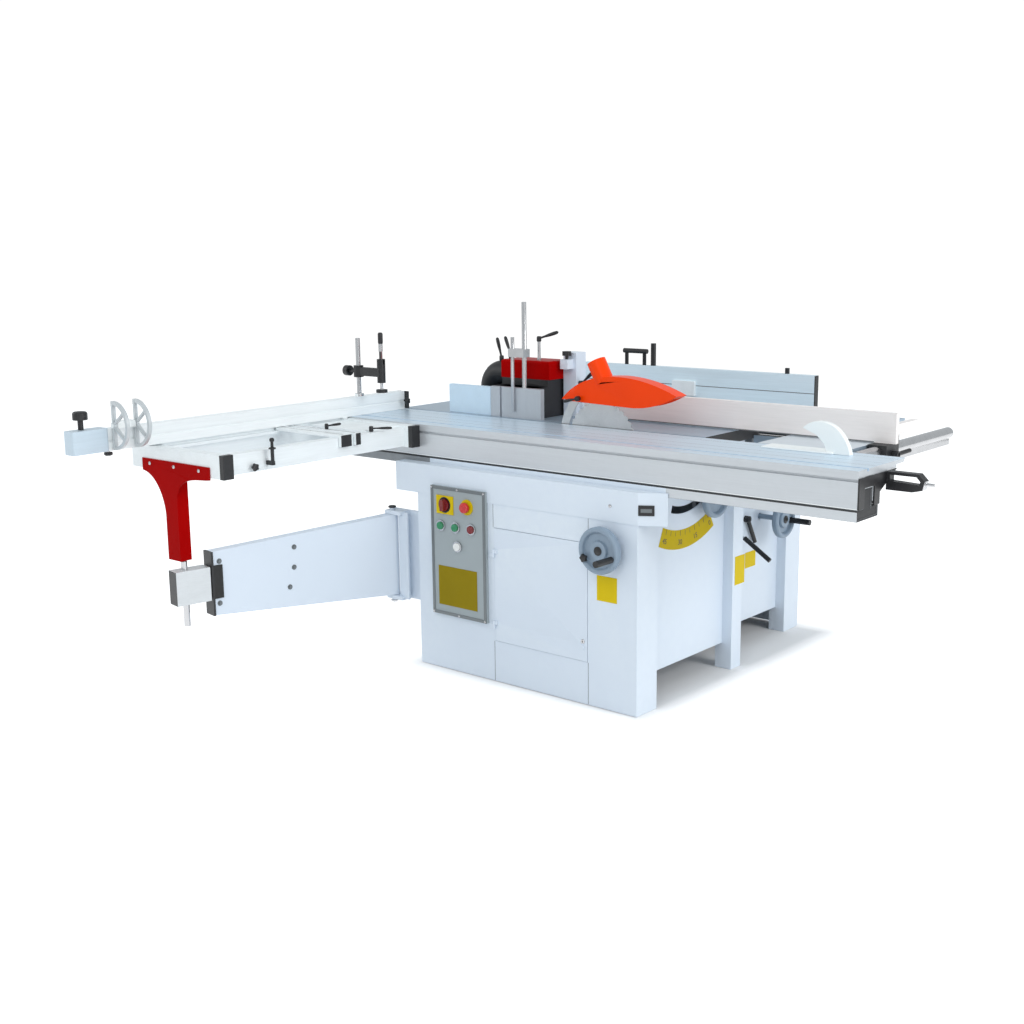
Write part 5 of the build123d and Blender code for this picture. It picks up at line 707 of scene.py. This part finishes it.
class MACHINE_OT_cabinet(PieceOperator, bpy.types.Operator):
    """Frame, panels, apron and door with joints, lock and plates"""
    bl_idname = "machine.cabinet"
    bl_label = "Cabinet"

    def make(self):
        for name in ("base_frame", "front_panel", "body_panels", "apron", "arm_bracket"):
            dress(name, powder_coat())
        dress("access_door", powder_coat())
        seam = sizes().seam / MM
        for name, x in (("left", DOOR_X[0] - DOOR_GAP), ("right", DOOR_X[1] + DOOR_GAP)):
            for part, z in (("", JOINT_BELOW_DOOR), ("top_", JOINT_ABOVE_DOOR)):
                slab(f"panel_joint_{part}{name}", (x - seam / 2, x + seam / 2), (FRONT - 0.5, FRONT), z, dark_seam(),
                     "base", edge=0)
        turned("door_lock", (-170, FRONT - 1.5, 221), (0, -1, 0),
               [(8, 0), (8, 1.5), (6.5, 3), (5, 3), (5, 2.2), (0, 2.2)], bright_steel(), "access_door")
        slab("door_lock_slot", (-171.5, -168.5), (FRONT - 4, FRONT - 3.4), (217.5, 224.5), black_plastic(),
             "access_door", edge=HAIR_EDGE)
        slab("front_plate", (-112, -30), (FRONT - 1, FRONT), (374, 460), yellow_plate(), "base")
        slab("leg_plate", (25, 26), (594, 660), (314, 420), yellow_plate(), "base")
        slab("planer_plate", (-107, -106), (887, 964), (300, 362), yellow_plate(), "base")
        screw("apron_screw", (-57, -53, 699), (0, -1, 0), 6, "base")
        self.counter_plate()
        self.tilt_scale()

    def counter_plate(self):
        """Black counter window on the bent end of the apron."""
        along = Vector((0.859, 0.513, 0))
        out = Vector((0.513, -0.859, 0))
        middle = Vector((53, -53, 697)) + along * 27
        slanted("counter_plate", middle, along, out, (52, 3, 34), black_plastic(), "base")
        slanted("counter_window", middle + out * 3, along, out, (36, 0.4, 12), panel_rim(), "base")

    def tilt_scale(self):
        """Yellow sector with ticks and plain numbers, and the pointer that tilts with the saw."""
        centre, face, zero = SCALE_CENTRE, SCALE_FACE, SCALE_ZERO
        rim = arc_points(centre, SCALE_RADII[1], *SCALE_SWEEP, RIM_STEPS)
        rim += arc_points(centre, SCALE_RADII[0], *SCALE_SWEEP, RIM_STEPS)[::-1]
        plate_x("tilt_scale", rim, (face, face + 1), scale_yellow(), "base", edge=0)
        for value in range(0, 46, 5):
            span = (zero - value - TICK_HALF, zero - value + TICK_HALF)
            start = TICK_START if value % 15 else LONG_TICK_START
            mark = arc_points(centre, TICK_END, *span, 1) + arc_points(centre, start, *span, 1)[::-1]
            plate_x(f"tilt_tick_{value}", mark, (face + 1, face + 1.2), black_plastic(), "base",
                    edge=0)
        for value in (0, 15, 30, 45):
            y, z = arc_points(centre, NUMBER_RADIUS, zero - value, zero - value, 1)[0]
            numeral(f"tilt_number_{value}", str(value), (face + 1.2, y, z), NUMBER_SIZE, zero - value,
                    black_plastic(), "base")
        tip = arc_points(centre, POINTER_RADII[1], zero, zero, 1)[0]
        root = arc_points(centre, POINTER_RADII[0], zero - POINTER_HALF, zero + POINTER_HALF, 1)
        plate_x("tilt_pointer", [tip, *root], (face + 2, face + 3.5), signal_red(), "saw_cradle")


class MACHINE_OT_controls(PieceOperator, bpy.types.Operator):
    """Control panel, its frame screws, switch, stop and buttons"""
    bl_idname = "machine.controls"
    bl_label = "Control panel"

    def make(self):
        front = FRONT - PANEL_DEPTH
        dress("control_panel", panel_grey(), edge=FINE_EDGE, zones=[
            (yellow_plate(), (-823, -737), (-80, front - 0.1), (580, 660)),
            (yellow_plate(), (-704, -644), (-80, front - 0.1), (593, 653)),
            (gold_plate(), (-822, -630), (-80, front - 0.1), (240, 400)),
            (bright_steel(), ANY, (-80, front - 0.1), (440, 580))])
        dress("main_switch_dial", deep_red(), edge=TRIM_EDGE)
        dress("estop_button", signal_red(), edge=FINE_EDGE)
        for name, material in (("start_button_a", signal_green()), ("start_button_b", signal_green()),
                               ("stop_button", deep_red()), ("lamp_button", lamp_white())):
            dress(name, material, edge=TRIM_EDGE)
        inner = (PANEL_X[0] + BORDER, PANEL_X[1] - BORDER)
        for name, x in (("left", (PANEL_X[0], inner[0])), ("right", (inner[1], PANEL_X[1]))):
            slab("panel_border_" + name, x, (front - 2, front), PANEL_Z, panel_rim(), "base")
        for name, z in (("low", (PANEL_Z[0], PANEL_Z[0] + BORDER)), ("high", (PANEL_Z[1] - BORDER, PANEL_Z[1]))):
            slab("panel_border_" + name, inner, (front - 2, front), z, panel_rim(), "base")
        inset = BORDER // 2
        for x in (PANEL_X[0] + inset, sum(PANEL_X) // 2, PANEL_X[1] - inset):
            for z in (PANEL_Z[0] + inset, PANEL_Z[1] - inset):
                screw(f"panel_screw_{-x}_{z}", (x, front - 2, z), (0, -1, 0), 4, "base")
        turned("switch_ring", (-780, front - 4.2, 620), (0, -1, 0), [(29, 0), (29, 0.25), (24, 0.28), (24, 0)],
               black_plastic(), "base")


class MACHINE_OT_sliding_table(PieceOperator, bpy.types.Operator):
    """Guide beam, carriage, end caps, push handle and edging shoe"""
    bl_idname = "machine.sliding_table"
    bl_label = "Sliding table"

    def make(self):
        # The beam stays in the dark cast paint left of the apron as painted shade under the carriage, and its right
        # end face is near-black painted shade.
        dress("guide_beam", cast_paint(), zones=[(dark_iron(), (780, 782), ANY, ANY)])
        slab("beam_cover", APRON_X, BEAM_SKIN, BEAM_FACE_Z, powder_coat(), "base", edge=0)
        slab("beam_face", (APRON_X[1], BEAM_X[1]), BEAM_SKIN, BEAM_FACE_Z, alu_side(), "base", edge=0)
        # Near-black blocks in both hollow beam ends, painted shade where the ends look black.
        for end, x in (("left", (BEAM_X[0] + 2, BEAM_X[0] + 10)), ("right", (BEAM_X[1] - 10, BEAM_X[1] - 2))):
            slab("beam_end_painted_shade_" + end, x, (6.2, 128.8), (746.2, 767.8), dark_iron(), "base", edge=0)
            slab("spine_end_painted_shade_" + end, x, (46.2, 88.8), (767.8, 825.8), dark_iron(), "base", edge=0)
        # The carriage's top faces take a lighter, bluer copy of its aluminium as painted light.
        dress("carriage", alu_side(), edge=FINE_EDGE, zones=[(alu_top(), ANY, (4, 320), (880, 900))])
        # A near-black strip on the beam's face below the carriage, painted shade in the gap.
        slab("carriage_gap_painted_shade", BEAM_X, BEAM_SKIN, (BEAM_FACE_Z[1], 774), dark_iron(), "base", edge=0)
        # A pale strip along the carriage's lower edge, a painted highlight.
        slab("carriage_painted_highlight", BEAM_X, BEAM_SKIN, (776.8, 779), pale_plastic(), "carriage", edge=0)
        for index, y in enumerate((118, 176, 262)):
            slab(f"carriage_line_{index}", BEAM_X, (y, y + 0.9), (TABLE_TOP - 0.1, TABLE_TOP + 0.08), dark_seam(),
                 "carriage", edge=0)
        dress("end_caps", black_plastic())
        dress("push_handle", black_plastic(), zones=[(bright_steel(), (897, 960), ANY, (830, 846))])
        dress("edging_shoe", pale_plastic(), edge=SHOE_EDGE)


class MACHINE_OT_outrigger(PieceOperator, bpy.types.Operator):
    """Outrigger frame, slats and support bracket with knobs and caps"""
    bl_idname = "machine.outrigger"
    bl_label = "Outrigger"

    def make(self):
        dress("outrigger_frame", alu_pale())
        dress("cross_slats", alu_pale(), zones=[(black_plastic(), (-999.9, -980), ANY, ANY)])
        for index, y in enumerate((-341, -284)):
            slab(f"slat_line_{index}", (-1330, -1001), (y - 2, y + 2), (887.8, 888.1), dark_seam(), "cross_slats",
                 edge=0)
        dress("support_bracket", red_coat())
        for index, x in enumerate((-1352, -1219, -1085)):
            screw(f"bracket_screw_{index}", (x, -899, 826.5), (0, -1, 0), 6, "carriage")
        for name, y in (("outer", (-895.6, -854.4)), ("inner", (-40.6, 0.6))):
            slab("outrigger_cap_" + name, (-981, -961), y, (806.4, 885.6), black_plastic(), "carriage")
        slab("outrigger_stop_arm", (-1000, -966), (-691, -679), (828, 842), black_plastic(), "carriage")
        turned("outrigger_stop", (-972, -685, 836), (0, 0, 1),
               [(6, 0), (6, 46), (12, 46), (12, 50), (5, 53), (5, 70), (8, 72), (8, 79), (5, 83), (0, 83)],
               black_plastic(), "carriage")
        star_knob("outrigger_knob", (-1000, -748, 828), (1, 0, 0), 14, 14, "carriage")
        clamp_lever("slat_lever", (-1150, -284, 888), (0, 0, 1), (44, 30, 8), 5, "cross_slats",
                    hub=7)
        clamp_lever("plate_lever", (-1022, -186, 878), (0, 0, 1), (62, 44, 2), 5, "carriage", hub=8)


class MACHINE_OT_crosscut_fence(PieceOperator, bpy.types.Operator):
    """Crosscut fence, extension, flip stops and hold-down"""
    bl_idname = "machine.crosscut_fence"
    bl_label = "Crosscut fence"

    def make(self):
        dress("crosscut_fence", alu_cross(), zones=[
            (bright_steel(), ANY, (55, 85), (962.1, 1200)),
            (pale_plastic(), ANY, (-1040, -970), (962.1, 1200))])
        dress("fence_extension", alu_extension(), zones=[
            (black_plastic(), ANY, (-1180, -1120), (980, 1100))])
        star_knob("extension_knob", (-1345, -1061, 890.4), (0, 0, -1), 15, 12, "fence_extension",
                  stem=5)
        for name in ("flip_stop_inner", "flip_stop_outer"):
            dress(name, cast_alu(), edge=CAST_EDGE)
        slab("fence_inner_cap", (-1372, -1308), (296, 300), (893, 962), black_plastic(), "crosscut_fence")
        star_knob("fence_knob", (-1308, 281, 925), (1, 0, 0), 14, 12, "crosscut_fence", stem=4)
        dress("clamp_arm", black_plastic())
        dress("clamp_lever", black_plastic(), zones=[(bright_steel(), ANY, ANY, (1112, 1208))])
        turned("clamp_grip", (-1225, 70, 1168), (0, 0, 1), [(8.2, 0), (9.5, 4), (9.5, 37), (7, 42), (0, 43)],
               black_plastic(), "clamp_lever")
        dress("clamp_plunger", bright_steel(), zones=[(black_plastic(), ANY, ANY, (980, 996))])


class MACHINE_OT_swing_arm(PieceOperator, bpy.types.Operator):
    """Swing arm and its telescoping tip"""
    bl_idname = "machine.swing_arm"
    bl_label = "Swing arm"

    def make(self):
        dress("swing_arm", powder_coat(), zones=[(black_plastic(), ANY, (-815, -786), ANY)])
        for index, (reach, z) in enumerate(((435, 493), (438, 420), (458, 351), (727, 488), (732, 341))):
            foot = ARM_PIN + ARM_AHEAD * reach + ARM_OUT * ARM_HALF
            bolt(f"arm_bolt_{index}", (foot.x, foot.y, z), ARM_OUT, 6, "swing_arm", panel_rim())
        block = ARM_PIN + ARM_AHEAD * 738 + ARM_OUT * ARM_HALF + Vector((0, 0, 418))
        slanted("arm_rubber", block, ARM_AHEAD, ARM_OUT, (40, 7, 116), belt_rubber(), "swing_arm")
        cap = [(15, 0), (15, 4), (12, 7), (0, 8)]
        turned("arm_pin_cap", (*ARM_PIN.xy, 575), (0, 0, 1), cap, black_plastic(), "base")
        turned("arm_pin_nut", (*ARM_PIN.xy, 220.5), (0, 0, -1), cap, bright_steel(), "base", steps=6)
        slab("bracket_web", (-1031, -985), (-54, -46), (232, 563), powder_coat(), "base")
        dress("arm_tip", alu_tip(), edge=CAST_EDGE, zones=[(black_plastic(), ANY, (-930, -920), (410, 420)),
                                                       (bright_steel(), ANY, (-896, -868), (475, 510)),
                                                       (bright_steel(), ANY, (-896, -868), (270, 356))])


class MACHINE_OT_saw(PieceOperator, bpy.types.Operator):
    """Saw table, leaves, saw unit, blade and guard"""
    bl_idname = "machine.saw"
    bl_label = "Saw"

    def make(self):
        # The saw table's right end face and the extensions' faces next to it are near-black painted shade.
        dress("saw_table", ground_iron(), zones=[(dark_iron(), (64.5, 65.5), ANY, ANY)])
        dress("table_extensions", ground_iron(), zones=[
            (dark_iron(), (64, 263.9), ANY, ANY), (leaf_grey(), (264, 580), ANY, (862.1, 900))])
        clamp_lever("guard_lever", (-440, 282, 992), (0, -1, 0), (-62, 0, -14), 6, "saw_guard")
        dress("saw_blade", blade_steel(), edge=HAIR_EDGE)
        dress("saw_guard", orange_coat(), edge=GUARD_EDGE, angle=50)
        dress("saw_carrier", cast_paint(), zones=[(blade_steel(), (-560, -455), (316, 320), ANY)])
        coat("saw_cradle", cast_paint())
        coat("saw_motor", motor_paint())
        coat("saw_arbor", bright_steel())


class MACHINE_OT_moulder(PieceOperator, bpy.types.Operator):
    """Moulder hood, its fences and presser rods, spindle and drive"""
    bl_idname = "machine.moulder"
    bl_label = "Moulder"

    def make(self):
        dress("moulder_hood", black_plastic(), zones=[
            (red_coat(), (-921, -683), (414, 541), (1031, 1102)),
            (powder_coat(), (-683, -620), (500, 562), (880, 1140)),
            (powder_coat(), (-683, -620), (463, 500), (1069, 1106.5))])
        dress("hood_fences", alu_cheek(), zones=[
            (blue_grey(), (-1131, -915), ANY, ANY),
            (bright_steel(), ANY, ANY, (1004.5, 1400))])
        post = [(9, 0), (9, 6), (6, 8), (6, 72)]
        turned("hood_post", (-760, 450, 1100), (0, 0, 1), post, bright_steel(), "base")
        for index, (foot, reach) in enumerate((
                ((-965, 470, 1087), (-10, -14, 78)), ((-900, 450, 1099.5), (-29, 0, 72)),
                ((-760, 450, 1170), (92, 0, 27)))):
            clamp_lever(f"hood_lever_{index}", foot, (0, 0, 1), reach, 7, "base")
        clamp_lever("hood_side_lever", (-622, 520, 1016), (1, 0, 0), (66, -18, 46), 7, "base")
        for name in ("spindle", "spindle_quill"):
            coat(name, bright_steel())
        coat("drive_motors", motor_paint())
        coat("drive_belts", belt_rubber())


class MACHINE_OT_rip_fence(PieceOperator, bpy.types.Operator):
    """Rip rail, rip fence and its lock"""
    bl_idname = "machine.rip_fence"
    bl_label = "Rip fence"

    def make(self):
        dress("rip_rail", bright_steel())
        dress("rip_fence", alu_warm(), zones=[(black_plastic(), (577, 660), ANY, (840, 893.1))])
        # A thin dark strip along the foot of the fence's face.
        slab("rip_fence_foot", (-600, 577), (519.6, 520.1), (893.2, 897), dark_seam(), "rip_fence", edge=0)
        dress("rip_lock_lever", black_plastic())


class MACHINE_OT_planer(PieceOperator, bpy.types.Operator):
    """Planer tables, cutterblock, rollers, thickness table and fence"""
    bl_idname = "machine.planer"
    bl_label = "Planer"

    def make(self):
        # The planer tables' faces in the Y 700 to 712.6 strip and the Z 840 to 849 band are near-black painted shade
        # on their shaded sides.
        for name in ("infeed_table", "outfeed_table"):
            dress(name, ground_iron(), zones=[
                (dark_iron(), ANY, (700, 712.6), ANY), (dark_iron(), ANY, ANY, (840, 849))])
        dress("thickness_table", ground_iron())
        dress("planer_body", cast_paint())
        for name in ("cutterblock", "infeed_roller", "outfeed_roller"):
            coat(name, bright_steel())
        dress("planer_fence", alu_cool(), zones=[(black_plastic(), ANY, ANY, (1028.1, 1200)),
                                                 (alu_pale(), (-606, -494), (1100, 1129.9), ANY)])
        slab("planer_fence_groove", (-1100, 34), (1129.7, 1130.1), (957, 960), dark_seam(), "planer_fence",
             edge=0)
        # A black strip on the fence face along its foot, painted shade for the gap under the fence.
        slab("planer_fence_painted_shade_gap", (-1100, 34), (1129.5, 1130.1), (890.4, 898), black_plastic(), "planer_fence",
             edge=0)
        slab("planer_fence_cap", (34, 38), (1131, 1157), (903, 1027), black_plastic(), "planer_fence")


class MACHINE_OT_handwheels(PieceOperator, bpy.types.Operator):
    """Handwheels with crank grips, feed and lock levers"""
    bl_idname = "machine.handwheels"
    bl_label = "Handwheels and levers"

    def make(self):
        dress("front_handwheel", grey_plastic(), edge=CAST_EDGE, zones=[(black_plastic(), ANY, (-200, -110.5), ANY)])
        dress("saw_handwheel", grey_plastic(), edge=CAST_EDGE)
        dress("planer_handwheel", grey_plastic(), edge=CAST_EDGE, zones=[(black_plastic(), (10.1, 90), ANY, ANY)])
        cap = [(15, 0), (15, 2), (12, 4), (0, 4.5)]
        for name, foot, direction in (
                ("front_handwheel", (-69, -103, 556), (0, -1, 0)), ("saw_handwheel", (40, 448, 670), (1, 0, 0)),
                ("planer_handwheel", (5, 991, 490), (1, 0, 0))):
            turned(name + "_cap", foot, direction, cap, black_plastic(), name)
        star_knob("front_wheel_knob", (-122, -96, 527), (0, -1, 0), 15, 13, "front_handwheel")
        dress("feed_lever", black_plastic(), zones=[(bright_steel(), (-200, -88.5), ANY, ANY)])
        dress("table_lock_lever", black_plastic())


class MACHINE_OT_stage(PieceOperator, bpy.types.Operator):
    """Floor, soft light and camera"""
    bl_idname = "machine.stage"
    bl_label = "Stage"

    def make(self):
        scene = bpy.context.scene
        scene.view_settings.view_transform = "Standard"
        half = sizes().floor
        form = bmesh.new()
        corners = ((-1, -1), (1, -1), (1, 1), (-1, 1))
        form.faces.new([form.verts.new((x * half, y * half, FLOOR_LEVEL)) for x, y in corners])
        mesh = bpy.data.meshes.new("floor")
        form.to_mesh(mesh)
        form.free()
        mesh.materials.append(self.floor_material())
        floor = bpy.data.objects.new("floor", mesh)
        scene.collection.objects.link(floor)
        self.light_world(scene)
        for lamp in LAMPS:
            self.add_lamp(*lamp)
        self.add_camera(scene)

    def floor_material(self):
        made = bpy.data.materials.new("pale_floor")
        made.use_nodes = True
        tree = made.node_tree
        tree.nodes.clear()
        output = node(tree, "ShaderNodeOutputMaterial")
        matte = node(tree, "ShaderNodeBsdfDiffuse")
        matte.inputs["Color"].default_value = FLOOR_COLOUR
        glow = node(tree, "ShaderNodeEmission")
        seen = node(tree, "ShaderNodeLightPath")
        shown = math_node(tree, "MAXIMUM", math_node(tree, "MAXIMUM", seen.outputs["Is Camera Ray"],
                          seen.outputs["Is Glossy Ray"]), seen.outputs["Is Transmission Ray"])
        # The glow is cut under the cabinet, a painted shadow on the floor.
        lift = math_node(tree, "MULTIPLY", shown, self.clear_of_machine(tree))
        tree.links.new(math_node(tree, "MULTIPLY", lift, FLOOR_GLOW), glow.inputs["Strength"])
        both = node(tree, "ShaderNodeAddShader")
        tree.links.new(matte.outputs[0], both.inputs[0])
        tree.links.new(glow.outputs[0], both.inputs[1])
        tree.links.new(both.outputs[0], output.inputs["Surface"])
        return made

    def clear_of_machine(self, tree):
        """0 under the cabinet, rising to 1 a hand's width outside it: the cut in the floor's glow paints a shadow
        under the cabinet.
        """
        place = node(tree, "ShaderNodeSeparateXYZ")
        tree.links.new(node(tree, "ShaderNodeNewGeometry").outputs["Position"], place.inputs[0])
        apart = []
        for axis, middle, half in CABINET_MIDDLE_AND_HALF:
            offset = math_node(tree, "ABSOLUTE", math_node(tree, "SUBTRACT", place.outputs[axis], middle), 0)
            apart.append(math_node(tree, "MAXIMUM", math_node(tree, "SUBTRACT", offset, half), 0))
        away = math_node(tree, "SQRT", math_node(
            tree, "ADD", math_node(tree, "POWER", apart[0], 2), math_node(tree, "POWER", apart[1], 2)), 0)
        return math_node(tree, "MINIMUM", math_node(tree, "DIVIDE", away, SHADOW_WIDTH), 1)

    def light_world(self, scene):
        world = bpy.data.worlds.new("studio")
        scene.world = world
        world.use_nodes = True
        tree = world.node_tree
        tree.nodes.clear()
        output = node(tree, "ShaderNodeOutputWorld")
        sky = node(tree, "ShaderNodeBackground")
        seen = node(tree, "ShaderNodeLightPath")
        shown = math_node(tree, "MAXIMUM", seen.outputs["Is Camera Ray"], seen.outputs["Is Transmission Ray"])
        lift = math_node(tree, "MULTIPLY", shown, SKY_LIFT)
        tree.links.new(math_node(tree, "ADD", SKY_STRENGTH, lift), sky.inputs["Strength"])
        tree.links.new(blend_colour(tree, shown, SKY_COLOUR, (1, 1, 1, 1)), sky.inputs["Color"])
        tree.links.new(sky.outputs[0], output.inputs["Surface"])

    def add_lamp(self, name, place, size, power):
        lamp = bpy.data.lights.new(name, "AREA")
        lamp.shape = "DISK"
        lamp.size = size
        lamp.energy = power
        made = bpy.data.objects.new(name, lamp)
        made.location = place
        made.rotation_euler = (Vector(LIT_POINT) - Vector(place)).to_track_quat("-Z", "Y").to_euler()
        bpy.context.scene.collection.objects.link(made)

    def add_camera(self, scene):
        lens = bpy.data.cameras.new("camera")
        lens.sensor_width = SENSOR_WIDTH
        lens.lens = FOCAL_LENGTH
        lens.clip_end = SIGHT
        made = bpy.data.objects.new("camera", lens)
        yaw, pitch, roll = (math.radians(v) for v in CAMERA_TURN)
        ahead = Vector((math.sin(yaw) * math.cos(pitch), math.cos(yaw) * math.cos(pitch), -math.sin(pitch)))
        right = Vector((math.cos(yaw), -math.sin(yaw), 0))
        down = ahead.cross(right)
        right, down = (math.cos(roll) * right + math.sin(roll) * down, math.cos(roll) * down - math.sin(roll) * right)
        turn = Matrix((right, -down, -ahead)).transposed().to_4x4()
        made.matrix_world = Matrix.Translation(CAMERA_PLACE) @ turn
        scene.collection.objects.link(made)
        scene.camera = made


OPERATORS = (
    MACHINE_OT_cabinet, MACHINE_OT_controls, MACHINE_OT_sliding_table, MACHINE_OT_outrigger, MACHINE_OT_crosscut_fence,
    MACHINE_OT_swing_arm, MACHINE_OT_saw, MACHINE_OT_moulder, MACHINE_OT_rip_fence, MACHINE_OT_planer,
    MACHINE_OT_handwheels, MACHINE_OT_stage)


class MACHINE_PT_sidebar(bpy.types.Panel):
    """Lists the pieces and their settings"""
    bl_idname = "MACHINE_PT_sidebar"
    bl_label = "Woodworking Machine"
    bl_space_type = "VIEW_3D"
    bl_region_type = "UI"
    bl_category = "Machine"

    def draw(self, context):
        for kind in OPERATORS:
            self.layout.operator(kind.bl_idname)
        for group in (context.scene.machine_colours, context.scene.machine_sizes):
            column = self.layout.column()
            for name in group.__annotations__:
                column.prop(group, name)


CLASSES = (MachineColours, MachineSizes, *OPERATORS, MACHINE_PT_sidebar)


def register():
    for kind in CLASSES:
        bpy.utils.register_class(kind)
    bpy.types.Scene.machine_colours = bpy.props.PointerProperty(type=MachineColours)
    bpy.types.Scene.machine_sizes = bpy.props.PointerProperty(type=MachineSizes)


def unregister():
    del bpy.types.Scene.machine_sizes
    del bpy.types.Scene.machine_colours
    for kind in reversed(CLASSES):
        bpy.utils.unregister_class(kind)


def main():
    register()
    for kind in OPERATORS:
        space, name = kind.bl_idname.split(".")
        getattr(getattr(bpy.ops, space), name)()
    bpy.context.view_layer.update()


if __name__ == "__main__":
    main()
